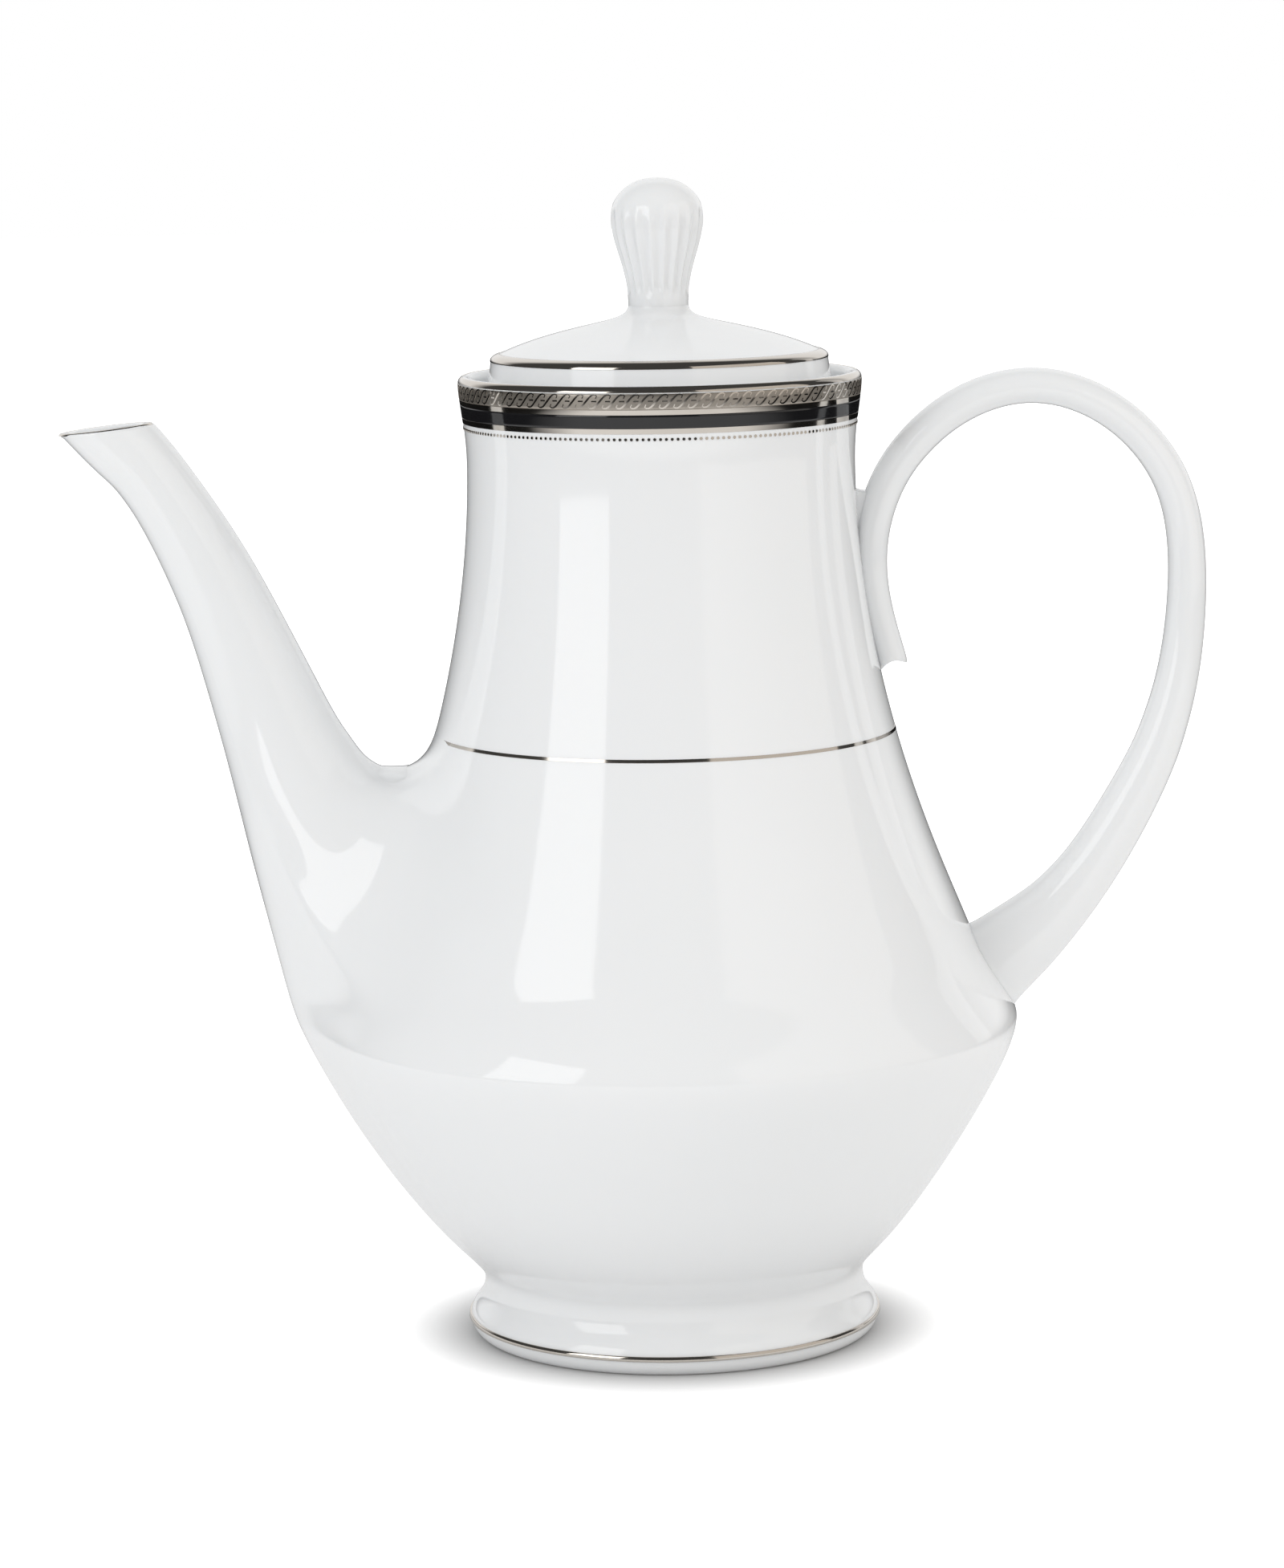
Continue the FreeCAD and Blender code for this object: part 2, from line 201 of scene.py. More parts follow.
# The tread is wiped clean of glaze so that it doesn't stick to the kiln shelf, and stays dry and creamy
BISCUIT = Finish("unglazed porcelain", "#E6E3DC", "#D9D5CC", 4, 0.6, 0.03, (0.65, 0.85), glow=0.05, ior=1.5)
# Liquid bright platinum, brushed on over the glaze and fired to a warm grey mirror
BRIGHT = Finish("bright platinum", "#DAD4CC", "#CEC7BE", 12, 3, 0.002, (0.05, 0.11), metallic=1.0)
# Platinum laid over an etched ground, so it fires to a silky bloom. The real grain is too fine to show, so
# it is drawn coarser.
SATIN = Finish("satin platinum", "#B4ADA4", "#A8A198", 3, 0.35, 0.012, (0.34, 0.44), metallic=1.0)
# Black on-glaze enamel, banded on the wheel and fired to a wet gloss
BLACK = Finish("black enamel", "#1B1B1D", "#121214", 15, 4, 0.003, (0.06, 0.12), ior=1.55)


# Outlines


def points(pairs: Shape) -> list[Vector]:
    """Turn pairs of radius and height into points."""
    return [Vector(pair) for pair in pairs]


def clamped_spline(poles: Sequence[Vector], count: int) -> list[Vector]:
    """Follow the cubic curve that control points pull into shape.

    Args:
        poles: control points; the curve starts at the first and ends at the last.
        count: number of steps along it.

    Returns:
        One point more than the steps.
    """
    degree = 3
    spans = len(poles) - degree
    knots = [0] * degree + list(range(spans + 1)) + [spans] * degree
    curve = []
    for step in range(count + 1):
        t = spans * step / count
        span = degree + min(int(t), spans - 1)
        work = [poles[span - degree + i].copy() for i in range(degree + 1)]
        for level in range(1, degree + 1):
            for i in range(degree, level - 1, -1):
                low = knots[i + span - degree]
                high = knots[i + 1 + span - level]
                work[i] = work[i - 1].lerp(work[i], (t - low) / (high - low))
        curve.append(work[degree])
    return curve


def stretch(low: Row, high: Row, shape: Shape, count: int) -> list[Vector]:
    """Draw one stretch of outline.

    Args:
        low: radius and height where it starts.
        high: radius and height where it ends.
        shape: control points as shares of the width and height between them.
        count: number of steps along it.

    Returns:
        Points of the outline.
    """
    width, height = high[0] - low[0], high[1] - low[1]
    inner = [(low[0] + width * wide, low[1] + height * tall) for wide, tall in shape]
    return clamped_spline(points((low, *inner, high)), count)


def bowed(start: Row, middle: Row, end: Row, count: int) -> list[Vector]:
    """Draw a rounded edge through three points.

    Args:
        start: radius and height where it starts.
        middle: the point half way along it.
        end: radius and height where it ends.
        count: number of steps along it.

    Returns:
        Points of the edge.
    """
    first, last = Vector(start), Vector(end)
    bulge = Vector(middle) * 2 - (first + last) / 2
    shares = [i / count for i in range(count + 1)]
    return [first * (1 - t) ** 2 + bulge * 2 * t * (1 - t) + last * t**2 for t in shares]


def arc(centre: Row, radius: float, start: float, end: float, count: int) -> list[Vector]:
    """Draw a circular arc.

    Args:
        centre: middle of the circle.
        radius: its radius.
        start: first angle in degrees from the outward direction.
        end: last angle in degrees.
        count: number of steps along it.

    Returns:
        Points of the arc.
    """
    turns = [math.radians(start + (end - start) * i / count) for i in range(count + 1)]
    return [Vector((centre[0] + radius * math.cos(a), centre[1] + radius * math.sin(a))) for a in turns]


def run_at(line: Sequence[Vector], i: int) -> Vector:
    """Return the direction in which a line runs at one of its points."""
    return (line[min(i + 1, len(line) - 1)] - line[max(i - 1, 0)]).normalized()


def moved_out(line: Sequence[Vector], lift: float) -> list[Vector]:
    """Move an outline square to itself, away from the axis where it runs upwards.

    Args:
        line: the outline.
        lift: distance; below zero it moves into the wall.

    Returns:
        The moved outline.
    """
    moved = []
    for i, point in enumerate(line):
        run = run_at(line, i)
        moved.append(point + Vector((run.y, -run.x)) * lift)
    return moved


def between(line: Sequence[Vector], low: float, high: float, count: int) -> list[Vector]:
    """Pick the part of a rising outline between two heights.

    Args:
        line: the outline, with heights that grow.
        low: lower height.
        high: upper height.
        count: number of steps.

    Returns:
        Points at even heights.
    """
    picked = []
    for step in range(count + 1):
        z = low + (high - low) * step / count
        above = min(max(bisect_left(line, z, key=lambda point: point.y), 1), len(line) - 1)
        start, end = line[above - 1], line[above]
        picked.append(start.lerp(end, (z - start.y) / (end.y - start.y)))
    return picked


def level_at(rows: Sequence[Row], z: float) -> Row:
    """Read the sizes that belong to a height.

    Args:
        rows: heights, each followed by its sizes.
        z: the height.

    Returns:
        The sizes, in even steps between rows.
    """
    above = min(max(bisect_left(rows, z, key=lambda row: row[0]), 1), len(rows) - 1)
    low, high = rows[above - 1], rows[above]
    t = (z - low[0]) / (high[0] - low[0])
    return tuple(a + (b - a) * t for a, b in zip(low[1:], high[1:]))


def even_slopes(rows: Sequence[Row], gaps: Sequence[float], passes: int = 60) -> list[list[float]]:
    """Find the slopes that give a curve through rows of sizes an even curvature.

    Args:
        rows: the rows.
        gaps: distances between them.
        passes: how often the slopes are settled against each other.

    Returns:
        For each row, the slope of each of its sizes.
    """
    tilts = [[(b - a) / gap for a, b in zip(low, high)] for low, high, gap in zip(rows, rows[1:], gaps)]
    slopes = [list(tilt) for tilt in tilts] + [list(tilts[-1])]
    last = len(rows) - 1
    for _ in range(passes):
        for k in range(len(rows[0])):
            slopes[0][k] = (3 * tilts[0][k] - slopes[1][k]) / 2
            slopes[last][k] = (3 * tilts[-1][k] - slopes[last - 1][k]) / 2
            for i in range(1, last):
                near, far = 1 / gaps[i - 1], 1 / gaps[i]
                pull = 3 * (tilts[i - 1][k] * near + tilts[i][k] * far)
                pull -= near * slopes[i - 1][k] + far * slopes[i + 1][k]
                slopes[i][k] = pull / (2 * (near + far))
    return slopes


def eased(rows: Sequence[Row], steps: int) -> list[Row]:
    """Run a smooth curve through rows of sizes, by their spacing along the first two numbers.

    Args:
        rows: stations, each with its place first.
        steps: rows to make for each gap.

    Returns:
        The stations with eased rows in between.
    """
    places = points([row[:2] for row in rows])
    gaps = [(b - a).length for a, b in zip(places, places[1:])]
    slopes = even_slopes(rows, gaps)
    out = [rows[0]]
    for i, gap in enumerate(gaps):
        for step in range(1, steps + 1):
            t = step / steps
            near, far = 2 * t**3 - 3 * t**2 + 1, 3 * t**2 - 2 * t**3
            leave, arrive = (t**3 - 2 * t**2 + t) * gap, (t**3 - t**2) * gap
            out.append(tuple(near * a + far * b + leave * p + arrive * q for a, b, p, q in
                             zip(rows[i], rows[i + 1], slopes[i], slopes[i + 1])))
    return out


def bell(away: float) -> float:
    """Return the height of a soft hump: one in its middle, nought at one half width and beyond."""
    return math.cos(math.pi / 2 * min(away, 1)) ** 2


def share(value: float) -> float:
    """Keep a value between nought and one."""
    return min(max(value, 0.0), 1.0)


# Mesh helpers


def spun(bm: bmesh.types.BMesh, outline: Sequence[Vector], steps: int, closed: bool = False) -> None:
    """Turn an outline about the axis.

    Args:
        bm: mesh that gets the faces.
        outline: radius and height of each point.
        steps: number of segments round the turn.
        closed: whether the last point joins the first.
    """
    verts = [bm.verts.new((point.x, 0, point.y)) for point in outline]
    pairs = list(zip(verts, verts[1:])) + ([(verts[-1], verts[0])] if closed else [])
    edges = [bm.edges.new(pair) for pair in pairs]
    bmesh.ops.spin(bm, geom=verts + edges, cent=(0, 0, 0), axis=(0, 0, 1), angle=2 * math.pi, steps=steps,
                   use_merge=True, use_duplicate=False)
    bmesh.ops.remove_doubles(bm, verts=bm.verts, dist=TOUCHING)


def repeated(bm: bmesh.types.BMesh, count: int) -> None:
    """Copy everything in the mesh round the axis.

    Args:
        bm: mesh with the first copy.
        count: how many there are in the full turn.
    """
    geom = list(bm.verts) + list(bm.edges) + list(bm.faces)
    bmesh.ops.spin(bm, geom=geom, cent=(0, 0, 0), axis=(0, 0, 1), angle=2 * math.pi * (count - 1) / count,
                   steps=count - 1, use_merge=False, use_duplicate=True)


def grown(bm: bmesh.types.BMesh, edges: Edges, places: Sequence[Placer]) -> list[bmesh.types.BMEdge]:
    """Extrude a line of edges again and again, and put each new line in its place.

    Args:
        bm: the mesh.
        edges: line or loop to start from.
        places: for each new line, where a vertex of it goes.

    Returns:
        The last line.
    """
    for place in places:
        made = bmesh.ops.extrude_edge_only(bm, edges=list(edges))["geom"]
        ends = {item for item in made if isinstance(item, bmesh.types.BMVert)}
        for vert in ends:
            vert.co = place(vert)
        edges = [item for item in made if isinstance(item, bmesh.types.BMEdge) and set(item.verts) <= ends]
    return list(edges)


def finished(bm: bmesh.types.BMesh, name: str, body: Body, finishes: Sequence[Finish],
             replaced: Sequence[str] = (), levels: int = 0, sharp: float = 40.0) -> Piece:
    """Turn a mesh into a piece that rides on its body.

    Args:
        bm: mesh in millimetres; it is used up.
        name: name of the piece.
        body: body that carries it.
        finishes: finish for each material index.
        replaced: nodes of the frame that the piece stands for.
        levels: smoothing levels.
        sharp: edges that turn by more degrees than this stay crisp.

    Returns:
        The piece.
    """
    bmesh.ops.scale(bm, vec=(MM, MM, MM), verts=bm.verts)
    bmesh.ops.recalc_face_normals(bm, faces=bm.faces)
    for face in bm.faces:
        face.smooth = True
    if not levels:
        for edge in bm.edges:
            edge.smooth = len(edge.link_faces) == 2 and edge.calc_face_angle() < math.radians(sharp)
    mesh = bpy.data.meshes.new(name)
    bm.to_mesh(mesh)
    bm.free()
    for finish in finishes:
        mesh.materials.append(finish.material())
    piece = bpy.data.objects.new(name, mesh)
    bpy.context.scene.collection.objects.link(piece)
    if levels:
        smoothing = piece.modifiers.new("smoothing", "SUBSURF")
        smoothing.levels = levels
        smoothing.render_levels = levels
    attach(piece, body.value)
    if replaced:
        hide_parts(*replaced)
    return piece


class SubAssembly(Protocol):
    """A group of pieces that is built and dressed together."""

    def dress(self) -> list[Piece]:
        """Build the pieces and give them their finishes."""


# Pot


@dataclass
class Outline:
    """Turned outline of the pot.

    Attributes:
        tread: inner and outer radius of the flat ring that meets the table.
        roll: widest point of the foot.
        roll_middle: middle of the foot's rounded edge.
        waist: narrowest point above the foot.
        belly: widest point.
        neck: narrowest point of the neck.
        rim: outer edge where the rounded lip begins.
        lip: radius of the rounded lip.
        skin_steps: steps along bowl, shoulder and throat that make the fine outline.
    """

    tread: Row = (39.5, 42.5)
    roll: Row = (44.7, 3.9)
    roll_middle: Row = (44.08, 1.48)
    waist: Row = (41.3, 12.9)
    belly: Row = (75.3, 68.8)
    neck: Row = (41.45, 189.5)
    rim: Row = (43.0, 207.2)
    lip: float = 1.5
    skin_steps: tuple[int, int, int] = (300, 600, 150)

    def roll_points(self, count: int) -> list[Vector]:
        """Draw the rounded edge of the foot, from the tread to its widest point."""
        return bowed((self.tread[1], 0), self.roll_middle, self.roll, count)

    def cove(self, count: int) -> list[Vector]:
        """Draw the hollow of the foot, up to the waist."""
        return stretch(self.roll, self.waist, [(0, 0.2), (0.85, 0.45), (1, 0.75)], count)

    def bowl(self, count: int) -> list[Vector]:
        """Draw the outline from waist to belly."""
        shape = [(0, 0.052), (0.17, 0.104), (0.768, 0.643), (1, 0.932)]
        return stretch(self.waist, self.belly, shape, count)

    def shoulder(self, count: int) -> list[Vector]:
        """Draw the outline from the belly to the narrowest point of the neck."""
        shape = [(0, 0.021), (0.264, 0.13), (0.282, 0.154), (0.78, 0.483), (1, 0.825)]
        return stretch(self.belly, self.neck, shape, count)

    def throat(self, count: int) -> list[Vector]:
        """Draw the outline from the neck to the lip."""
        return stretch(self.neck, self.rim, [(0, 0.45), (1, 0.75)], count)

    def lip_arc(self, start: float, end: float, count: int) -> list[Vector]:
        """Draw the part of the rounded lip between two angles in degrees."""
        return arc((self.rim[0] - self.lip, self.rim[1]), self.lip, start, end, count)

    @cached_property
    def skin(self) -> list[Vector]:
        """Fine outline from the waist to the lip."""
        bowl, shoulder, throat = self.skin_steps
        return self.bowl(bowl) + self.shoulder(shoulder)[1:] + self.throat(throat)[1:]

    def radius(self, z: float) -> float:
        """Return the outer radius at a height."""
        return between(self.skin, z, z, 1)[0].x


@dataclass
class PotShell:
    """Body, foot and spout, which one coat of glaze runs over.

    Attributes:
        outline: the turned outline.
        hollow: radius and height of points on the hollow under the foot, from its middle outwards.
        tread_edge: width and height of the tread's inner bevel, and width of its outer one.
        bare: height below which the tread is free of glaze.
        wall: thickness of the body.
        floor_z: height of the floor inside.
        corner_height: height above the floor where the wall starts to round into it.
        corner: distance from the wall and height above the floor of points on that rounding.
        seat: radius and height of the step that carries the lid.
        seat_walls: how far the walls above and below that step run straight.
        seat_rounding: rounding of the step's inner and outer corner.
        seat_relief: how far the wall falls back below the step, and at what depth.
        segments: segments round the turn.
        outer_steps: steps along roll, cove, bowl, shoulder, throat and lip.
        inner_steps: steps along shoulder and bowl inside.
        root: lowest and highest point of the spout's root.
        root_columns: segments that the root takes on each side of the middle.
        spout: upper edge, lower edge and width of the spout's sections, from the mouth to the crotch.
        spout_steps: rows for each gap between those sections.
        spout_wall: thickness of the spout.
        lip_edge: width and height of the bevels on the spout's lip.
        keel: height, reach from the axis and half width of the ridge below the spout.
        keel_steps: rows for each gap between those heights.
        flare: height and rise of the broad swelling that carries the spout's root.
        flare_span: degrees to each side over which it dies away.
        crook: how far the hollow between spout and body is rounded out.
        crook_place: share of the way from the body to the spout's first section where that hollow lies.
        crotch_sag: how much deeper it is rounded out at the crotch.
        crotch_z: height above which the hollow is smoothed right across.
        sponging: passes that smooth the joint between spout and body.
        sponge_pull: how far each pass draws a point towards its neighbours.
        sponge_x: limits of the smoothed stretch along the spout.
        sponge_y: limits of it to each side.
        sponge_z: limits of it in height.
    """

    outline: Outline = field(default_factory=Outline)
    hollow: Shape = ((0.0, 12.9), (16.0, 12.9), (33.0, 12.9), (35.8, 12.6), (36.6, 11.3), (38.0, 6.0),
                     (39.1, 1.2))
    tread_edge: Row = (0.5, 0.2, 0.6)
    bare: float = 0.12
    wall: float = 3.6
    floor_z: float = 17.4
    corner_height: float = 4.0
    corner: Shape = ((4.0, 1.0), (9.0, 0.0))
    seat: Row = (36.0, 203.3)
    seat_walls: Row = (2.0, 2.5)
    seat_rounding: Row = (0.4, 0.5)
    seat_relief: Row = (0.3, 3.4)
    segments: int = 40
    outer_steps: tuple[int, ...] = (4, 6, 18, 32, 6, 6)
    inner_steps: tuple[int, int] = (22, 12)
    root: Row = (76.0, 125.0)
    root_columns: int = 2
    spout: Sequence[Row] = (
        (-108.3, 199.9, -128.8, 197.7, 16.5),
        (-107.3, 198.8, -126.3, 194.8, 16.7),
        (-100.9, 190.4, -117.0, 185.5, 17.0),
        (-89.9, 173.6, -107.0, 166.9, 17.7),
        (-81.3, 157.3, -101.6, 151.8, 19.1),
        (-73.8, 142.1, -97.2, 135.0, 21.8),
        (-67.0, 130.3, -94.2, 122.1, 26.6),
        (-59.2, 122.7, -90.4, 104.2, 34.0),
    )
    spout_steps: int = 3
    spout_wall: float = 2.6
    lip_edge: Row = (0.25, 0.6)
    keel: Sequence[Row] = ((13.5, 41.3, 16.0), (17.0, 45.3, 17.0), (34.0, 60.8, 19.0), (52.0, 72.9, 21.0),
                           (68.8, 81.8, 23.0), (76.0, 85.0, 24.0), (84.0, 87.4, 25.0))
    keel_steps: int = 6
    flare: Sequence[Row] = ((66.0, 0.0), (74.0, 1.2), (84.0, 2.6), (98.0, 3.0), (110.0, 1.9), (118.0, 0.8),
                            (126.0, 0.0))
    flare_span: float = 64.0
    crook: float = 0.9
    crook_place: float = 0.45
    crotch_sag: float = 1.5
    crotch_z: float = 112.0
    sponging: int = 8
    sponge_pull: float = 0.5
    sponge_x: Row = (-88.0, -40.0)
    sponge_y: Row = (7.0, 44.0)
    sponge_z: Row = (77.0, 129.0)

    def seat_step(self) -> list[Vector]:
        """Draw the step inside the mouth that carries the lid.

        Returns:
            Radius and height of its points, from the mouth down.
        """
        mouth = self.outline.rim[0] - 2 * self.outline.lip
        radius, z = self.seat
        above, below = self.seat_walls
        cove, nose = self.seat_rounding
        back, depth = self.seat_relief
        return points([(mouth, z + above), (mouth, z + cove), (mouth - cove, z), (radius + nose, z),
                       (radius, z - nose), (radius, z - below), (radius + back, z - depth)])

    def profile(self) -> list[Vector]:
        """Draw the outline from the middle of the underside, over the lip, to the middle of the floor.

        Returns:
            Radius and height of its points.
        """
        shape = self.outline
        tread_in, tread_out = shape.tread
        bevel_in, bevel_up, bevel_out = self.tread_edge
        tread = [(tread_in, bevel_up), (tread_in + bevel_in, 0), (tread_out - bevel_out, 0)]
        roll, cove, bowl, shoulder, throat, lip = self.outer_steps
        outer = shape.roll_points(roll) + shape.cove(cove)[1:] + shape.bowl(bowl)[1:]
        outer += shape.shoulder(shoulder)[1:] + shape.throat(throat)[1:] + shape.lip_arc(0, 180, lip)[1:]
        shoulder, bowl = self.inner_steps
        inner = moved_out(shape.shoulder(shoulder), -self.wall)[::-1]
        inner += moved_out(shape.bowl(bowl), -self.wall)[:0:-1]
        inner = [point for point in inner if point.y > self.floor_z + self.corner_height]
        side = inner[-1].x
        floor = [(side - inward, self.floor_z + up) for inward, up in self.corner]
        floor += [(side / 2, self.floor_z), (0, self.floor_z)]
        return points([*self.hollow, *tread]) + outer + self.seat_step() + inner + points(floor)

    @cached_property
    def keel_rows(self) -> list[Row]:
        """Rows of the keel with eased rows in between."""
        return eased(self.keel, self.keel_steps)

    def rise(self, z: float, turn: float) -> float:
        """Work out how far keel and flare stand out of the turned form.

        Args:
            z: height.
            turn: angle from the spout's side.

        Returns:
            The rise in millimetres.
        """
        total = 0.0
        radius = self.outline.radius(z)
        if self.keel[0][0] < z < self.keel[-1][0]:
            reach, half = level_at(self.keel_rows, z)
            total = max(reach - radius, 0) * bell(abs(radius * math.sin(turn)) / half)
        if self.flare[0][0] < z < self.flare[-1][0]:
            swelling = level_at(self.flare, z)[0] * bell(abs(math.degrees(turn)) / self.flare_span)
            total = max(total, swelling)
        return total

    def is_outer(self, vert: bmesh.types.BMVert) -> bool:
        """Tell whether a vertex is on the outer face of the wall."""
        return math.hypot(vert.co.x, vert.co.y) > self.outline.radius(vert.co.z) - self.wall / 2

    def swell(self, bm: bmesh.types.BMesh) -> None:
        """Push keel and flare out of the belly on the spout's side.

        Args:
            bm: mesh of the turned form.
        """
        low, high = self.keel[0][0], self.flare[-1][0]
        for vert in bm.verts:
            turn = math.atan2(vert.co.y, -vert.co.x)
            if abs(turn) < math.pi / 2 and low < vert.co.z < high and self.is_outer(vert):
                grow = 1 + self.rise(vert.co.z, turn) / math.hypot(vert.co.x, vert.co.y)
                vert.co.x *= grow
                vert.co.y *= grow

    def open_root(self, bm: bmesh.types.BMesh) -> tuple[Edges, Edges]:
        """Cut the spout's root out of both faces of the wall.

        Args:
            bm: mesh of the turned form.

        Returns:
            The loops of edges round the outer and the inner hole.
        """
        low, high = self.root
        reach = self.root_columns * 2 * math.pi / self.segments
        doomed = []
        for face in bm.faces:
            middle = face.calc_center_median()
            if low < middle.z < high and abs(math.atan2(middle.y, -middle.x)) < reach:
                doomed.append(face)
        bmesh.ops.delete(bm, geom=doomed, context="FACES")
        rims = [edge for edge in bm.edges if len(edge.link_faces) == 1]
        outer = [edge for edge in rims if self.is_outer(edge.verts[0]) and self.is_outer(edge.verts[1])]
        return outer, [edge for edge in rims if edge not in set(outer)]

    def mark_turns(self, edges: Edges, layer: Layer) -> None:
        """Note on each vertex of a hole's rim where on the spout's ovals it goes.

        Args:
            edges: the rim.
            layer: vertex layer that takes the angle.
        """
        verts = {vert for edge in edges for vert in edge.verts}
        low, high = min(v.co.z for v in verts), max(v.co.z for v in verts)
        half = max(abs(v.co.y) for v in verts)
        for vert in verts:
            vert[layer] = math.atan2(vert.co.y / half, (vert.co.z - (low + high) / 2) / ((high - low) / 2))

    def oval(self, row: Row, turn: float, inset: float = 0.0) -> Vector:
        """Find a point of one of the spout's sections.

        Args:
            row: upper edge, lower edge and width of the section.
            turn: angle round it from the upper edge.
            inset: how far the point lies inside the section's outer face.

        Returns:
            The point.
        """
        upper, lower = Vector((row[0], 0, row[1])), Vector((row[2], 0, row[3]))
        along = (upper - lower) / 2
        along *= 1 - inset / along.length
        across = Vector((0, row[4] / 2 - inset, 0))
        return (upper + lower) / 2 + along * math.cos(turn) + across * math.sin(turn)

    def section(self, layer: Layer, row: Row, inset: float = 0.0, drop: float = 0.0) -> Placer:
        """Say where a vertex goes on a section, set in from its outer face and dropped below it."""
        return lambda vert: self.oval(row, vert[layer], inset) - Vector((0, 0, drop))

    def rounded_crook(self, layer: Layer, vert: bmesh.types.BMVert, first: Placer) -> Vector:
        """Place a vertex in the rounded hollow between body and spout.

        Args:
            layer: vertex layer with the angle round the spout.
            vert: vertex, still on the rim of the hole in the body.
            first: where vertices of the spout's first section go.

        Returns:
            The vertex's place.
        """
        across, up = math.sin(vert[layer]), math.cos(vert[layer])
        sag = Vector((abs(across), -across, -self.crotch_sag * max(up, 0))) * self.crook
        return vert.co.lerp(first(vert), self.crook_place) + sag * (1 + up) / 2

    def soften(self, bm: bmesh.types.BMesh) -> None:
        """Let the spout's root flow into the body, as the slip joint does once it is sponged.

        Args:
            bm: mesh of the whole shell.
        """
        region = []
        for vert in bm.verts:
            x, y, z = vert.co.x, abs(vert.co.y), vert.co.z
            near = self.sponge_x[0] < x < self.sponge_x[1] and self.sponge_z[0] < z < self.sponge_z[1]
            flank = self.sponge_y[0] < y < self.sponge_y[1] or z > self.crotch_z
            if near and flank and self.is_outer(vert):
                region.append(vert)
        for _ in range(self.sponging):
            bmesh.ops.smooth_vert(bm, verts=region, factor=self.sponge_pull,
                                  use_axis_x=True, use_axis_y=True, use_axis_z=True)

    def build(self) -> bmesh.types.BMesh:
        """Spin the pot, raise the keel and grow the spout out of it.

        Returns:
            The mesh in millimetres.
        """
        bm = bmesh.new()
        spun(bm, self.profile(), self.segments)
        self.swell(bm)
        layer = bm.verts.layers.float.new("turn")
        outer, inner = self.open_root(bm)
        # Subdivision draws the corners of a ring inwards, so the rings are made this much wider
        widen = 6 / (4 + 2 * math.cos(2 * math.pi / self.segments))
        bmesh.ops.scale(bm, vec=(widen, widen, 1), verts=bm.verts)
        self.mark_turns(outer, layer)
        self.mark_turns(inner, layer)
        *rows, tip = eased(self.spout, self.spout_steps)[::-1]
        bevel, drop = self.lip_edge
        first = self.section(layer, rows[0])
        horn = [lambda vert: self.rounded_crook(layer, vert, first)]
        horn += [self.section(layer, row) for row in rows]
        horn += [self.section(layer, tip, 0, drop), self.section(layer, tip, bevel)]
        wall = self.spout_wall
        bore = [self.section(layer, row, wall) for row in rows]
        bore += [self.section(layer, tip, wall, drop), self.section(layer, tip, wall - bevel)]
        outer_lip = grown(bm, outer, horn)
        inner_lip = grown(bm, inner, bore)
        bmesh.ops.bridge_loops(bm, edges=outer_lip + inner_lip)
        self.soften(bm)
        return bm

    def dress(self) -> list[Piece]:
        """Finish the shell, with bare porcelain on the tread.

        Returns:
            The one piece.
        """
        bm = self.build()
        for face in bm.faces:
            face.material_index = 1 if face.calc_center_median().z < self.bare else 0
        return [finished(bm, "glazed_pot", Body.POT, [PORCELAIN, BISCUIT],
                         ["pot_body", "foot_ring", "spout"], levels=2)]


